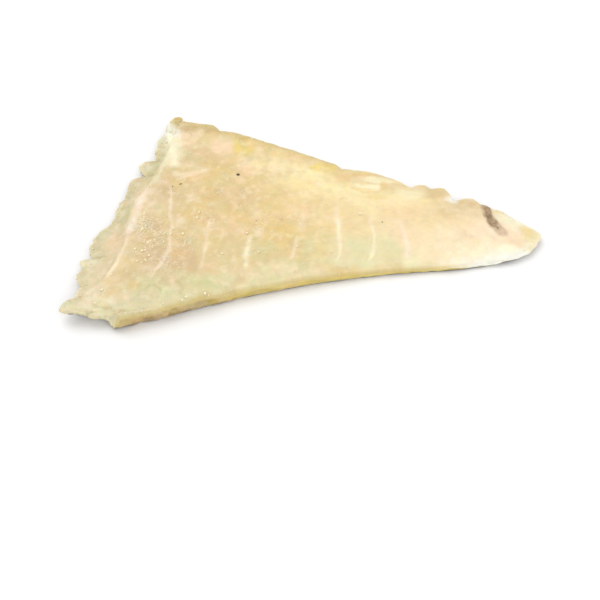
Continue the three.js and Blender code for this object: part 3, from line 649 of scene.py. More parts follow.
# How crusted with salt the flesh is: bells for the patches, added up and broken up by noise
def crustAt(x, y):
    crust = np.zeros(x.shape)
    for middleX, middleY, halfX, halfY, dense in flesh["crust"]:
        crust = crust + dense * bell(np.hypot((x - middleX) / halfX, (y - middleY) / halfY), 1)
    return clamp01(crust * (flesh["crustMean"] + relief(flesh["crustBroken"], x, y)))


# Each colour mixed towards a named one by its own amount
def tint(colours, name, amount):
    return blend(colours, linear(flesh[name]), clamp01(amount)[..., None])


# Soft clouds of colour: smooth steps of noise
def addClouds(colours, x, y, clouds, share=1):
    for name, strength, common, contrast, *setting in clouds:
        amount = smooth(common + contrast * roughness(x, y, *setting))
        colours = tint(colours, name, strength * share * amount)
    return colours


# The dark stain near the tip: a soft band along its route, fading towards its end
def stainAt(x, y):
    bentX, bentY = x + relief(flesh["stainBendX"], x, y), y + relief(flesh["stainBendY"], x, y)
    distance, share = routeField(bentX, bentY, flesh["stainRoute"])
    band = smooth((blend(flesh["stainStart"], flesh["stainEnd"], share) - distance) / flesh["stainSoft"])
    fade = 1 - flesh["stainFade"] * rising(share, *flesh["stainFades"])
    return band * (flesh["stainMean"] + relief(flesh["stainUneven"], x, y)) * fade


# Colour of the flesh side: cream with soft clouds, then ragged patches, some of them painted highlights and
# light, mottling that is calmer towards the tip, the rim and the other edges with a painted highlight along
# the cut, painted shade in the creases, the pale lines and the dark stain, mixed in one by one
def fleshColours(s):
    x, y = s["x"], s["y"]
    colours = np.broadcast_to(linear(flesh["base"]), x.shape + (3,)).copy()
    colours = addClouds(colours, x, y, flesh["clouds"])
    strip = s["strip"] * smooth(1 - s["fromCut"] / flesh["stripWidth"])
    colours = tint(colours, "olive", flesh["stripOlive"] * strip)
    colours = addClouds(colours, x, y, flesh["stripClouds"], strip)
    seedX, seedY = flesh["patchSeeds"]
    for name, middleX, middleY, halfX, halfY, strength in flesh["patches"]:
        edgeX = flesh["patchRagged"] * roughness(x, y, flesh["patchGrain"] * halfX, seedX)
        edgeY = flesh["patchRagged"] * roughness(x, y, flesh["patchGrain"] * halfY, seedY)
        away = np.hypot((x - middleX) / halfX + edgeX, (y - middleY) / halfY + edgeY)
        colours = tint(colours, name, strength * smooth((flesh["patchReach"] - away) / flesh["patchSoft"]))
    mottled = 1 - flesh["calm"] * rising(s["u"], *flesh["calmFrom"])
    colours = addClouds(colours, x, y, flesh["mottles"], mottled)
    along, *shades = zip(*flesh["shades"])
    colours = colours * np.stack([np.interp(x, along, shade) for shade in shades], axis=-1)
    rimShows = falling(s["u"], *flesh["rimUpTo"]) * (flesh["rimMean"] + relief(flesh["rimBroken"], x, y))
    colours = tint(colours, "rimAmber", rimShows * bell(s["fromBack"], flesh["rimHalf"]))
    # A painted highlight: a pale milk line along the thin cut edge
    colours = tint(colours, "milk", flesh["cutMilkHighlight"] * bell(s["fromCut"], flesh["cutHalf"]))
    frontShows = flesh["frontSide"] * bell(s["fromFront"], flesh["frontHalf"])
    colours = tint(colours, "side", frontShows * falling(s["u"], *flesh["frontUpTo"]))
    # Painted shade: the creases between the flake ends are tinted darker
    colours = tint(colours, "creaseShade", flesh["tears"] * s["crease"])
    for name, strength in lineLook["colours"].items():
        colours = tint(colours, name + "Line", strength * s[name])
    colours = tint(colours, "stain", stainAt(x, y))
    return colours * (1 + relief(flesh["grain"], x, y)[..., None])


wall = {
    "bulge": 0.07, "tuck": 0.35, "coarser": 1.5, "coarserOver": 0.35, "glossElsewhere": 0.3, "glossBy": 0.3,
    "darkAtTop": 0.4, "darkLower": 0.6, "streaksMean": 0.5, "streaksDark": 0.35, "streaksDim": 0.7,
    "light": 0.7, "crumbs": 0.2, "crumbsInDark": 0.5, "warm": 0.35, "otherSides": 0.3, "frontFullBy": 12,
    # start or end, and stretch
    "darkUpTo": (0.34, 0.2), "paintedLightFrom": (0.2, 0.25), "paleFrom": (0.86, 0.05), "clotsFrom": (0.35, 0.3),
    "crumbsUpTo": (0.5, 0.3), "warmFrom": (0.05, 0.4), "warmUpTo": (0.7, 0.3), "showsFrom": (-0.15, 0.4),
    # strength, size, seed and octaves
    "rough": (0.35, 5, 3.3, 3), "pits": (0.14, 1.2, 6.1, 2), "streaks": (0.7, 9, 7.1, 3),
    "clots": (1, 3.2, 4.9, 3), "warmSpots": (1, 8, 2.1, 3),
}
skinLook = {  # insets: shares of the way from the rim to the middle where the underside has its rings
    "insets": (0.012, 0.03, 0.06, 0.1, 0.16, 0.22), "flatFrom": 0.2, "thickness": 0.4,
    "inner": 0.98, "frontOut": -0.25, "elsewhereOut": -0.8, "uneven": (0.35, 6, 2.7, 3),
    "leastEdge": 0.25, "edgeAt": -18, "edgeHalf": 42,
    "dark": (72, 64, 58), "grey": (120, 110, 98), "pale": (190, 178, 156), "edge": (232, 222, 196),
    "spot": (84, 70, 52), "lateralLine": (206, 198, 176),
}


# Colour of the sides at height z, a share t of the way down: streaked, darker towards the cut and more so
# lower down, lighter away from the cut with painted light, pale at the tip partly with painted light, with
# crumbs and warm patches, mixed in below the rim's own colours
def wallColours(rimColours, z, t):
    u = rim["u"]
    dark = falling(u, *wall["darkUpTo"])
    streaks = clamp01(wall["streaksMean"] + relief(wall["streaks"], rimArc, z * 5))
    darker = wall["streaksDark"] * streaks + dark * (wall["darkAtTop"] + wall["darkLower"] * t)
    colours = tint(np.broadcast_to(linear(flesh["side"]), (rimCount, 3)), "sideDark", darker)
    # Painted light: the sides away from the cut are lighter, less so where streaked
    paintedLight = wall["light"] * rising(u, *wall["paintedLightFrom"]) * (1 - wall["streaksDim"] * streaks)
    colours = tint(colours, "sidePaintedLight", paintedLight)
    # Towards the tip the sides turn near white: a paler flesh there and painted light on sides that the lamps
    # barely reach
    colours = tint(colours, "sidePaleLit", rising(u, *wall["paleFrom"]))
    clots = relief(wall["clots"], rimArc, z * 1.6) + wall["crumbsInDark"] * dark
    crumbed = wall["crumbs"] * rising(clots, *wall["clotsFrom"]) * falling(u, *wall["crumbsUpTo"])
    colours = tint(colours, "freshCrumb", crumbed)
    warm = wall["warm"] * rising(relief(wall["warmSpots"], rimArc, z), *wall["warmFrom"])
    colours = tint(colours, "orange", warm * falling(u, *wall["warmUpTo"]))
    frontShows = blend(wall["otherSides"], 1, smooth(rim["fromCut"] / wall["frontFullBy"]))
    sideShows = np.where(rimJ == 0, frontShows, wall["otherSides"])
    return blend(rimColours, colours, (rising(t, *wall["showsFrom"]) * sideShows)[:, None])


# The underside's ring at an inset, on the lifted edge near the rim and on the table further in
def underRing(inset):
    under = surfaceAt(blend(rim["u"], 0.5, inset), blend(rim["v"], 0.5, inset))
    return under["x"], under["y"], under["bottom"] if inset < skinLook["flatFrom"] else np.zeros(rimCount)


# The flesh is one closed shell: the sheet on top, rings down its sides that bulge by a half sine, are
# rough and tuck in by a cube at the bottom, and rings inwards under it that the skin hides
def buildFlesh(material):
    number = np.arange(sheet["x"].size).reshape(sheet["x"].shape)
    points = [np.stack([sheet["x"], sheet["y"], sheet["top"]], axis=-1).reshape(-1, 3)]
    quads, colours, side = [gridFaces(number)], [fleshColours(sheet).reshape(-1, 3)], [np.zeros(number.size)]
    rings = [number[rimI, rimJ]]
    rimColours = colours[0][rings[0]]
    otherSides = (rimI == 0) | (rimJ == grid["across"] - 1) | (rimI == grid["along"] - 1)
    coarser = 1 + wall["coarser"] * smooth(1 - rim["u"] / wall["coarserOver"])

    # The next closed ring of points, joined to the ring before it
    def addRing(x, y, z, ringColours, sideShare):
        rings.append(sum(len(p) for p in points) + np.arange(rimCount))
        points.append(np.stack([x, y, z], axis=-1))
        quads.append(ringFaces(rings[-2], rings[-1]))
        colours.append(ringColours)
        side.append(sideShare)

    for row in range(1, grid["wallRows"] + 1):
        t = row / grid["wallRows"]
        z = blend(rim["top"], rim["bottom"] + form["skin"], t)
        rough = relief(wall["rough"], rimArc, z * 2.4) + relief(wall["pits"], rimArc * 0.5, z * 2)
        out = wall["bulge"] * (rim["top"] - rim["bottom"]) * math.sin(math.pi * t) - wall["tuck"] * t**3
        out = out + rough * coarser * math.sin(math.pi * t) ** 0.5
        share = np.where(otherSides, wall["glossElsewhere"], 1.0) * smooth(t / wall["glossBy"])
        addRing(rim["x"] + outX * out, rim["y"] + outY * out, z, wallColours(rimColours, z, t), share)
    underColours = np.broadcast_to(linear(flesh["under"]), (rimCount, 3))
    for inset in skinLook["insets"]:
        x, y, z = underRing(inset)
        addRing(x, y, z + form["skin"], underColours, np.zeros(rimCount))

    points = np.concatenate(points)
    piece = makePiece("codFlesh", points, np.concatenate(quads), [rings[-1][::-1]], material)
    addColours(piece, "fleshColour", np.concatenate(colours))
    addNumbers(piece, "side", np.concatenate(side))
    addNumbers(piece, "crust", crustAt(points[:, 0], points[:, 1]))
    return piece


# The skin is a thin closed shell on the underside: rings inwards below and the same rings above
def buildSkin(material):
    insets = (0,) + skinLook["insets"]
    stand = np.where(rimJ == 0, skinLook["frontOut"], skinLook["elsewhereOut"])
    stand = stand + relief(skinLook["uneven"], rimArc, 0 * rimArc)
    points = []

    # One closed ring at an inset, raised by that much; only the outermost stands out or back
    def addRing(inset, above):
        x, y, z = underRing(inset)
        out = stand if inset == 0 else np.zeros(rimCount)
        points.append(np.stack([x + outX * out, y + outY * out, z + above], axis=-1))
        return (len(points) - 1) * rimCount + np.arange(rimCount)

    rings = [addRing(inset, skinLook["thickness"] * skinLook["inner"]) for inset in reversed(insets)]
    rings += [addRing(inset, 0) for inset in insets]
    quads = np.concatenate([ringFaces(a, b) for a, b in zip(rings[:-1], rings[1:])])
    piece = makePiece("codSkin", np.concatenate(points), quads, [rings[0], rings[-1][::-1]], material)
    atEdge = np.zeros((len(rings), rimCount))
    frontPart = bell(rim["x"] - skinLook["edgeAt"], skinLook["edgeHalf"]) * (rimJ == 0)
    atEdge[len(insets) - 1] = blend(skinLook["leastEdge"], 1, frontPart)
    addNumbers(piece, "paleEdge", atEdge.ravel())
    return piece


# A new material with its node tree and its shader
def newMaterial(name):
    material = bpy.data.materials.new(name)
    material.use_nodes = True
    return material, material.node_tree, material.node_tree.nodes["Principled BSDF"]


# Fixed values for a node's inputs, by the names of the inputs
def setInputs(node, values):
    for name, value in values.items():
        node.inputs[name].default_value = value


# Sockets linked to a node's inputs, by the names of the inputs
def feedInputs(tree, node, feeds):
    for name, socket in feeds.items():
        tree.links.new(socket, node.inputs[name])


# A node of one kind, with its settings, its fixed values and the sockets that feed it
def addNode(tree, kind, settings=None, values=None, **feeds):
    node = tree.nodes.new("ShaderNode" + kind)
    for name, value in (settings or {}).items():
        setattr(node, name, value)
    setInputs(node, values or {})
    feedInputs(tree, node, feeds)
    return node


# The place on the piece, for textures
def addPlace(tree):
    return addNode(tree, "TexCoord").outputs["Object"]


# The piece's own numbers of that name
def addAttribute(tree, name, output="Fac"):
    return addNode(tree, "Attribute", {"attribute_name": name}).outputs[output]


# Noise at a place
def addNoise(tree, place, values):
    return addNode(tree, "TexNoise", values=values, Vector=place).outputs["Fac"]


# Distance to the nearest cell's middle at a place
def addCells(tree, place, values):
    return addNode(tree, "TexVoronoi", values=values, Vector=place).outputs["Distance"]


# Values stretched from two limits to two others, and kept between them
def addRange(tree, source, limits):
    values = dict(zip(("From Min", "From Max", "To Min", "To Max"), limits))
    return addNode(tree, "MapRange", values=values, Value=source).outputs["Result"]


# One step of arithmetic: each part of it is a socket or a fixed number
def addMath(tree, operation, *parts):
    node = addNode(tree, "Math", {"operation": operation})
    for k, part in enumerate(parts):
        if isinstance(part, bpy.types.NodeSocket):
            tree.links.new(part, node.inputs[k])
        else:
            node.inputs[k].default_value = part
    return node.outputs["Value"]


# A coat of one colour, mixed over the colour below it by a share
def addCoat(tree, below, share, colour):
    values = {"B": (*linear(colour), 1)}
    return addNode(tree, "Mix", {"data_type": "RGBA"}, values, Factor=share, A=below).outputs["Result"]


# Values as colours between stops, each a value and a linear colour
def addRamp(tree, source, stops):
    ramp = addNode(tree, "ValToRGB", Fac=source)
    elements = ramp.color_ramp.elements
    while len(elements) < len(stops):
        elements.new(0.5)
    for element, (at, colour) in zip(elements, stops):
        element.position = at
        element.color = (*colour, 1)
    return ramp.outputs["Color"]


# A bump as high as its source says, on top of the bump that feeds its normal
def addBump(tree, height, values, **below):
    return addNode(tree, "Bump", values=values, Height=height, **below).outputs["Normal"]


# A plain finish for small pieces: noise as colours between stops, and as a bump where there is one
def noisyMaterial(name, look, stops):
    material, tree, shader = newMaterial(name)
    noise = addNoise(tree, addPlace(tree), look["noise"])
    feedInputs(tree, shader, {"Base Color": addRamp(tree, noise, stops)})
    if "bump" in look:
        feedInputs(tree, shader, {"Normal": addBump(tree, noise, look["bump"])})
    setInputs(shader, look["shader"])
    return material


fleshFinish = {  # ranges: from two values to two others
    "cloud": {"Scale": 260.0, "Detail": 5.0, "Roughness": 0.6}, "cloudLight": (0.3, 0.7, 0.965, 1.03),
    "grains": {"Scale": 1000.0, "Detail": 2.0, "Roughness": 0.5},
    "coats": [("crustGap", (0.52, 0.38, 0.0, 0.65)), ("crystal", (0.56, 0.66, 0.0, 0.9))],
    "crustBump": {"Strength": 0.6, "Distance": 0.0006},
    "stretch": {"Scale": (160, 900, 400), "Rotation": (0, 0, 0.18)},
    "fibres": {"Scale": 1.0, "Detail": 4.0, "Roughness": 0.55, "Distortion": 0.4},
    "fibreBump": {"Strength": 0.4, "Distance": 0.0005},
    "wrinkles": {"Scale": 1100.0, "Detail": 6.0, "Roughness": 0.65},
    "wrinkleBump": {"Strength": 0.45, "Distance": 0.0004},
    "gloss": (0.0, 1.0, 0.5, 0.3),
    "shader": {"Subsurface Weight": 0.3, "Subsurface Radius": (1.0, 0.6, 0.3), "Subsurface Scale": 0.003,
               "IOR": 1.42, "Specular IOR Level": 0.4},
}


# The painted colour times cloudy light and dark spots, then dark gaps and pale crystals where the
# flesh is crusted. Crust, fibres along the piece and dried wrinkles are bumps, one over the other, and
# the trimmed side is glossier than the flesh side
def fleshMaterial():
    look = fleshFinish
    material, tree, shader = newMaterial("codFlesh")
    place = addPlace(tree)
    painted, crust = addAttribute(tree, "fleshColour", "Color"), addAttribute(tree, "crust")
    light = addRange(tree, addNoise(tree, place, look["cloud"]), look["cloudLight"])
    clouded = addNode(tree, "VectorMath", {"operation": "SCALE"}, Vector=painted, Scale=light)
    colour = clouded.outputs["Vector"]
    grains = addNoise(tree, place, look["grains"])
    for name, limits in look["coats"]:
        share = addMath(tree, "MULTIPLY", addRange(tree, grains, limits), crust)
        colour = addCoat(tree, colour, share, flesh[name])
    stretched = addNode(tree, "Mapping", values=look["stretch"], Vector=place).outputs["Vector"]
    normal = addBump(tree, addMath(tree, "MULTIPLY", grains, crust), look["crustBump"])
    normal = addBump(tree, addNoise(tree, stretched, look["fibres"]), look["fibreBump"], Normal=normal)
    normal = addBump(tree, addNoise(tree, place, look["wrinkles"]), look["wrinkleBump"], Normal=normal)
    gloss = addRange(tree, addAttribute(tree, "side"), look["gloss"])
    feedInputs(tree, shader, {"Base Color": colour, "Normal": normal, "Roughness": gloss})
    setInputs(shader, look["shader"])
    return material


skinFinish = {  # ranges: from two values to two others
    "mottle": {"Scale": 110.0, "Detail": 7.0, "Roughness": 0.6}, "turn": {"Rotation": (0, 0, 0.22)},
    "towardsBack": (-0.05, 0.05, 0.1, -0.1), "stops": [(0.36, "dark"), (0.52, "grey"), (0.72, "pale")],
    "spots": {"Scale": 230.0}, "spotShare": (0.16, 0.3, 0.6, 0.0),
    "bend": {"Scale": 14.0, "Detail": 1.0}, "bendBy": 0.012, "lineShare": (0.0003, 0.0014, 0.7, 0.0),
    "scales": {"Scale": 700.0}, "scaleBump": {"Strength": 0.7, "Distance": 0.0004},
    "shader": {"Roughness": 0.4},
}


# Dark towards the back and paler towards the belly, mottled, then dark spots, a bent pale line along
# the side and a pale edge, with small scales as bumps
def skinMaterial():
    look = skinFinish
    material, tree, shader = newMaterial("codSkin")
    place = addPlace(tree)
    turned = addNode(tree, "Mapping", values=look["turn"], Vector=place).outputs["Vector"]
    across = addNode(tree, "SeparateXYZ", Vector=turned).outputs["Y"]
    towardsBack = addRange(tree, across, look["towardsBack"])
    shade = addMath(tree, "ADD", addNoise(tree, place, look["mottle"]), towardsBack)
    colour = addRamp(tree, shade, [(at, linear(skinLook[name])) for at, name in look["stops"]])
    spots = addRange(tree, addCells(tree, place, look["spots"]), look["spotShare"])
    bent = addMath(tree, "MULTIPLY_ADD", addNoise(tree, place, look["bend"]), look["bendBy"], across)
    line = addRange(tree, addMath(tree, "ABSOLUTE", bent), look["lineShare"])
    for share, name in ((spots, "spot"), (line, "lateralLine"), (addAttribute(tree, "paleEdge"), "edge")):
        colour = addCoat(tree, colour, share, skinLook[name])
    normal = addBump(tree, addCells(tree, place, look["scales"]), look["scaleBump"])
    feedInputs(tree, shader, {"Base Color": colour, "Normal": normal})
    setInputs(shader, look["shader"])
    return material


# Rotation matrices for arrays of angles: about X, then Y, then Z
def turns(ax, ay, az):
    zero, one = np.zeros_like(ax), np.ones_like(ax)
    rows = lambda *entries: np.stack(entries, axis=-1).reshape(-1, 3, 3)
    aroundX = rows(one, zero, zero, zero, np.cos(ax), -np.sin(ax), zero, np.sin(ax), np.cos(ax))
    aroundY = rows(np.cos(ay), zero, np.sin(ay), zero, one, zero, -np.sin(ay), zero, np.cos(ay))
    aroundZ = rows(np.cos(az), -np.sin(az), zero, np.sin(az), np.cos(az), zero, zero, zero, one)
    return aroundZ @ aroundY @ aroundX


# A cube whose faces are grids, pulled part of the way to a ball: edge length 1, faces outwards
def roundedCube(cells, roundness):
    t = np.linspace(-0.5, 0.5, cells + 1)
    a, b = (g.ravel() for g in np.meshgrid(t, t, indexing="ij"))
    half = np.full_like(a, 0.5)
    faces = [(a, b, half), (b, a, -half), (half, a, b), (-half, b, a), (b, half, a), (a, -half, b)]
    points = np.concatenate([np.stack(face, axis=-1) for face in faces])
    ball = points / np.linalg.norm(points, axis=1, keepdims=True) * 0.5
    n = np.arange((cells + 1) ** 2).reshape(cells + 1, cells + 1)
    quads = np.concatenate([gridFaces(n) + k * n.size for k in range(len(faces))])
    rounded = np.round(points * 1e4).astype(int)  # points that two faces share are joined
    _, first, back = np.unique(rounded, axis=0, return_index=True, return_inverse=True)
    return blend(points, ball, roundness)[first], back.ravel()[quads]


# Copies of one rounded cube, each with its size, turn and place and with its points moved a little at
# random, joined in one mesh
def joinCopies(name, look, sizes, rotation, places, material):
    shape, quads = roundedCube(look["cells"], look["roundness"])
    count = len(places)
    draws = np.random.default_rng(look["unevenSeed"]).uniform(-1, 1, (count,) + shape.shape)
    local = shape[None] * (1 + look["uneven"] * draws) * sizes[:, None, :]
    points = np.einsum("nij,nkj->nki", rotation, local) + places[:, None, :]
    faces = quads[None] + (np.arange(count) * len(shape))[:, None, None]
    return makePiece(name, points.reshape(-1, 3), faces.reshape(-1, 4), (), material)


# Each grain's own values from the row of its group, which starts with how many there are
def perGrain(groups):
    counts, *columns = np.array(groups).T
    return [np.repeat(column, counts.astype(int)) for column in columns]


# Places on the flesh side, a little above it
def placesOn(u, v, above):
    under = surfaceAt(u, v)
    return np.stack([under["x"], under["y"], under["top"] + above], axis=-1)


# Sizes drawn around an edge length, then small tilts and any turn about the upright
def randomForms(rng, edge, look):
    sizes = edge[:, None] * rng.uniform(*look["sizes"], (len(edge), 3)) * np.array(look["flat"])
    most = np.array([[look["tilt"]], [look["tilt"]], [math.pi]])
    return sizes, turns(*(rng.uniform(-1, 1, (3, len(edge))) * most))


coarseSalt = {
    "seed": 4711, "factor": 16807, "modulus": 2147483647, "draws": 10,
    "small": 0.8, "large": 1.5, "standing": 0.05, "flattest": 0.6, "tilt": 0.25,
    "cells": 3, "roundness": 0.2, "uneven": 0.2, "unevenSeed": 3,
    # how many, u and v of the middle, spread along u and v
    "groups": [(18, 0.13, 0.37, 0.06, 0.12), (5, 0.21, 0.42, 0.05, 0.12), (5, 0.35, 0.33, 0.06, 0.22),
               (4, 0.15, 0.02, 0.1, 0.012), (2, 0.06, 0.17, 0.03, 0.08), (5, 0.55, 0.35, 0.22, 0.28)],
}


# The same draws as in the CAD model, so every grain lies where its block does: each state is the last
# one times the factor, less all whole moduli
def buildCoarseSalt(material):
    middleU, middleV, spreadU, spreadV = perGrain(coarseSalt["groups"])
    state = coarseSalt["seed"]
    draws = np.empty((len(middleU), coarseSalt["draws"]))
    for k in range(draws.size):
        state = state * coarseSalt["factor"] % coarseSalt["modulus"]
        draws.flat[k] = state / coarseSalt["modulus"]
    d = draws.T
    edge = blend(coarseSalt["small"], coarseSalt["large"], d[4] ** 2)
    flat = blend(coarseSalt["flattest"], 1, d[5:7])
    tilt = coarseSalt["tilt"] * (2 * d[7:9] - 1)
    u, v = middleU + spreadU * (d[0] - d[1]), middleV + spreadV * (d[2] - d[3])
    places = placesOn(u, v, coarseSalt["standing"] * edge)
    sizes = np.stack([edge, edge * flat[0], edge * flat[1]], axis=-1)
    return joinCopies("coarseSalt", coarseSalt, sizes, turns(*tilt, math.pi * d[9]), places, material)


fineSalt = {
    "count": 1400, "seed": 52, "small": 0.25, "large": 0.8, "stands": -0.1, "anywhere": 0.007,
    "clumps": (1.2, 4, 3.1, 3), "clumped": 0.35, "mostlySmall": 3,
    "sizes": (0.6, 1.1), "flat": (1, 1, 0.6), "tilt": 0.25,
    "cells": 2, "roundness": 0.35, "uneven": 0.12, "unevenSeed": 8,
}


# Fine grains, picked at random from the points of the flesh side by how dense they should be there:
# a little everywhere, and much in the clumps of the crust
def buildFineSalt(material):
    rng = np.random.default_rng(fineSalt["seed"])
    x, y, width = sheet["x"], sheet["y"], sheet["width"]
    clumps = clamp01(fineSalt["clumped"] + relief(fineSalt["clumps"], x, y)) ** 2
    density = (fineSalt["anywhere"] + crustAt(x, y) * clumps) * width / width.max()
    chosen = rng.choice(x.size, fineSalt["count"], replace=False, p=(density / density.sum()).ravel())
    edge = blend(fineSalt["small"], fineSalt["large"], rng.random(len(chosen)) ** fineSalt["mostlySmall"])
    x, y, top = (sheet[key].ravel()[chosen] for key in ("x", "y", "top"))
    places = np.stack([x, y, top + fineSalt["stands"] * edge], axis=-1)
    return joinCopies("fineSalt", fineSalt, *randomForms(rng, edge, fineSalt), places, material)


saltLook = {
    "stops": [(0.3, (252, 228, 182)), (0.7, (255, 240, 202))],
    "noise": {"Scale": 900.0, "Detail": 3.0}, "bump": {"Strength": 0.25, "Distance": 0.0002},
    "shader": {"Roughness": 0.5, "Specular IOR Level": 0.25, "Subsurface Weight": 0.6,
               "Subsurface Radius": (1.0, 0.9, 0.75), "Subsurface Scale": 0.0008, "IOR": 1.54},
}


# Warm white, cloudy and a little translucent
def saltMaterial():
    return noisyMaterial("saltGrains", saltLook, [(at, linear(colour)) for at, colour in saltLook["stops"]])


crumbs = {
    "seed": 96, "small": 0.4, "large": 1.2, "stands": 0.02, "mostlySmall": 2.5,
    "sizes": (0.5, 1.1), "flat": (1.2, 0.9, 0.6), "tilt": 0.4,
    "cells": 2, "roundness": 0.5, "uneven": 0.3, "unevenSeed": 17,
    # how many, u and v of the middle, half widths along u and v
    "groups": [(110, 0.01, 0.5, 0.012, 0.5), (30, 0.09, 0.012, 0.025, 0.012), (30, 0.3, 0.01, 0.2, 0.008),
               (24, 0.03, 0.1, 0.03, 0.1), (24, 0.03, 0.94, 0.02, 0.05)],
    "stops": [(0.35, "crumbDark"), (0.65, "crumb")],
    "noise": {"Scale": 500.0, "Detail": 3.0}, "bump": {"Strength": 0.4, "Distance": 0.0003},
    "shader": {"Roughness": 0.55, "Subsurface Weight": 0.3, "Subsurface Radius": (1.0, 0.8, 0.6),
               "Subsurface Scale": 0.0003},
}


# Loose crumbs of flesh near the cut and along the front edge, spread evenly over their groups
def buildCrumbs(material):
    rng = np.random.default_rng(crumbs["seed"])
    middleU, middleV, halfU, halfV = perGrain(crumbs["groups"])
    u = clamp01(middleU + halfU * rng.uniform(-1, 1, len(middleU)))
    v = clamp01(middleV + halfV * rng.uniform(-1, 1, len(middleV)))
    edge = blend(crumbs["small"], crumbs["large"], rng.random(len(u)) ** crumbs["mostlySmall"])
    places = placesOn(u, v, crumbs["stands"] * edge)
    return joinCopies("codCrumbs", crumbs, *randomForms(rng, edge, crumbs), places, material)


# The flesh's own creams, darker and paler in spots
def crumbMaterial():
    return noisyMaterial("codCrumbs", crumbs, [(at, linear(flesh[name])) for at, name in crumbs["stops"]])


membrane = {  # places along it in u and v
    "route": [(0.9344, 0.974), (0.9055, 0.7976), (0.8932, 0.6914), (0.8899, 0.6352), (0.8946, 0.59),
              (0.8985, 0.54)],
    "at": 0.9, "cells": (80, 15), "half": 1.4, "thick": 0.2, "above": 0.02, "rise": 0.16,
    "startWidth": 0.5, "widensOver": 0.35, "endAt": 1.02, "endPower": 0.3, "roundedOver": 0.04,
    # strength, size, seed and octaves
    "wavy": (0.2, 4, 6.6, 3), "crumple": (0.16, 1.6, 8.8, 3),
    "dark": (138, 112, 82), "brown": (162, 134, 102), "pale": (180, 152, 120),
    "stops": [(0.36, "dark"), (0.5, "brown"), (0.62, "pale")],
    "noise": {"Scale": 420.0, "Detail": 5.0, "Roughness": 0.6}, "shader": {"Roughness": 0.6},
}


# A scrap of dark membrane: a thin strip along its route, which widens and then tapers to its end, with
# wavy edges. It lies on the flesh and rises by a parabola between its edges, crumpled by noise
def buildMembrane(material):
    width = np.interp(membrane["at"], np.linspace(0, 1, grid["along"]), sheet["width"][:, 0])
    lengths = np.array([bodyLength, width])
    route = sideCurve(np.array(membrane["route"]) * lengths)
    rows, columns = membrane["cells"]
    along, across = np.meshgrid(np.linspace(0, 1, rows), np.linspace(-1, 1, columns), indexing="ij")
    middle = placeOn(route, along)
    step = np.gradient(middle, axis=0)
    step /= np.linalg.norm(step, axis=-1, keepdims=True)
    widens = blend(membrane["startWidth"], 1, smooth(along / membrane["widensOver"]))
    taper = widens * (membrane["endAt"] - along) ** membrane["endPower"]
    taper = taper * smooth(along / membrane["roundedOver"] + 0.2)
    half = membrane["half"] * taper * (1 + relief(membrane["wavy"], along * 40, across * 2))
    under = surfaceAt((middle[..., 0] - step[..., 1] * half * across) / lengths[0],
                      (middle[..., 1] + step[..., 0] * half * across) / lengths[1])
    x, y = under["x"], under["y"]
    crumple = relief(membrane["crumple"], x, y) + membrane["rise"]
    top = under["top"] + membrane["above"] + crumple * (1 - across**2)
    number = np.arange(x.size).reshape(x.shape)
    faces, loop = gridFaces(number), number[outlineOf(rows, columns)]
    points = [np.stack([x, y, z], axis=-1).reshape(-1, 3) for z in (top, top - membrane["thick"])]
    quads = np.concatenate([faces, faces[:, ::-1] + x.size, ringFaces(loop, loop + x.size)])
    return makePiece("darkMembrane", np.concatenate(points), quads, (), material)


# Streaks of dried browns
def membraneMaterial():
    stops = [(at, linear(membrane[name])) for at, name in membrane["stops"]]
    return noisyMaterial("darkMembrane", membrane, stops)


specks = {  # u and v of the middle, length, width, turn
    "places": [(0.2403, 0.7495, 1.8, 1.5, 0.2), (0.1101, 0.6834, 1.5, 0.6, 0.3),
               (0.0957, 0.6693, 0.8, 0.5, -0.4), (0.0489, 0.6633, 0.6, 0.4, 0.8),
               (0.6307, 0.505, 0.7, 0.5, 0), (0.3426, 0.477, 0.5, 0.4, 0.6)],
    "high": 0.3, "cells": 3, "roundness": 0.9, "uneven": 0.12, "unevenSeed": 5,
    "colour": (84, 66, 44), "stops": [(0.3, 0.6), (0.7, 1.5)],  # value, how bright the colour is there
    "noise": {"Scale": 1500.0}, "shader": {"Roughness": 0.6},
}


# Dark specks: flat balls half sunk in the flesh
def buildSpecks(material):
    u, v, length, width, turn = np.array(specks["places"]).T
    sizes = np.stack([length, width, np.full_like(u, specks["high"])], axis=-1)
    rotation = turns(0 * turn, 0 * turn, turn)
    return joinCopies("darkSpecks", specks, sizes, rotation, placesOn(u, v, 0), material)


# One dark brown, dimmed and brightened in spots
def speckMaterial():
    stops = [(at, linear(specks["colour"]) * bright) for at, bright in specks["stops"]]
    return noisyMaterial("darkSpecks", specks, stops)


# Every piece rides on the one body, stands in for its node and has a slot for its look
def finishPiece(piece):
    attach(piece, "root")
    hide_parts("salt_cod_piece")


finishPiece(buildFlesh(fleshMaterial()))
print("flesh made")
finishPiece(buildSkin(skinMaterial()))
print("skin made")
salt = saltMaterial()
finishPiece(buildCoarseSalt(salt))
finishPiece(buildFineSalt(salt))
print("salt made")
finishPiece(buildCrumbs(crumbMaterial()))
finishPiece(buildMembrane(membraneMaterial()))
finishPiece(buildSpecks(speckMaterial()))
print("scraps made")

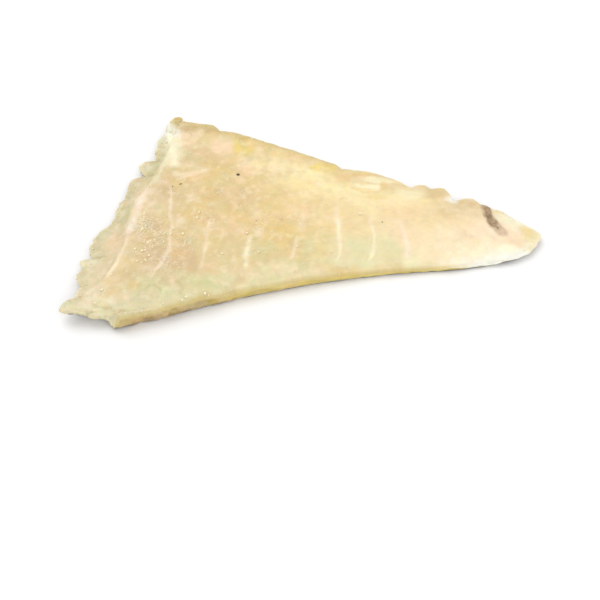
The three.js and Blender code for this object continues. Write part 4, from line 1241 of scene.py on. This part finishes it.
stage = {  # metres and watts, but the floor's height in millimetres; lights: name, power, size, place
    "floor": 3.0, "floorColour": (252, 252, 252), "floorAt": -0.02, "sky": 0.75,
    "floorShader": {"Roughness": 0.9, "Specular IOR Level": 0.1},
    "lights": [("keyLight", 5.0, 0.9, (-0.45, 0.45, 1.0)), ("fillLight", 3.7, 1.2, (0.6, -0.9, 0.8))],
}


# A pale matt floor just under the piece, and an even white sky
def buildStage():
    material, _, shader = newMaterial("paleFloor")
    setInputs(shader, {"Base Color": (*linear(stage["floorColour"]), 1), **stage["floorShader"]})
    half, z = stage["floor"] / 2 * 1000, stage["floorAt"]
    corners = np.array([[-half, -half, z], [half, -half, z], [half, half, z], [-half, half, z]])
    makePiece("floor", corners, np.array([[0, 1, 2, 3]]), (), material)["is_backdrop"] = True
    world = bpy.data.worlds.new("softSky")
    world.use_nodes = True
    setInputs(world.node_tree.nodes["Background"], {"Color": (1, 1, 1, 1), "Strength": stage["sky"]})
    bpy.context.scene.world = world
    bpy.context.scene.view_settings.view_transform = "Standard"


# A square lamp turned to the middle of the piece: tilted by the angle from straight down, then turned
# about the upright
def addLight(name, power, size, place):
    light = bpy.data.lights.new(name, "AREA")
    light.energy = power
    light.size = size
    lamp = bpy.data.objects.new(name, light)
    bpy.context.scene.collection.objects.link(lamp)
    lamp.location = place
    x, y, z = -np.array(place)
    lamp.rotation_euler = (math.atan2(math.hypot(x, y), -z), 0, math.atan2(x, -y) + math.pi)


buildStage()
for light in stage["lights"]:
    addLight(*light)

view = {"lens": 80, "sensor": 36, "nearest": 0.01, "down": 55, "distance": 0.613}


# The camera looks along +Y and down at the point that the outline was measured from
def buildCamera():
    data = bpy.data.cameras.new("camera")
    data.lens = view["lens"]
    data.sensor_width = view["sensor"]
    data.clip_start = view["nearest"]
    camera = bpy.data.objects.new("camera", data)
    bpy.context.scene.collection.objects.link(camera)
    down = math.radians(view["down"])
    aim = -boxMiddle / 1000
    camera.location = (aim[0], aim[1] - view["distance"] * math.cos(down), view["distance"] * math.sin(down))
    camera.rotation_euler = (math.pi / 2 - down, 0, 0)
    bpy.context.scene.camera = camera


buildCamera()
print("stage, lights and camera made")

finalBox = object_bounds()
{"cad": [list(corner) for corner in cadBox], "visual": [list(corner) for corner in finalBox]}
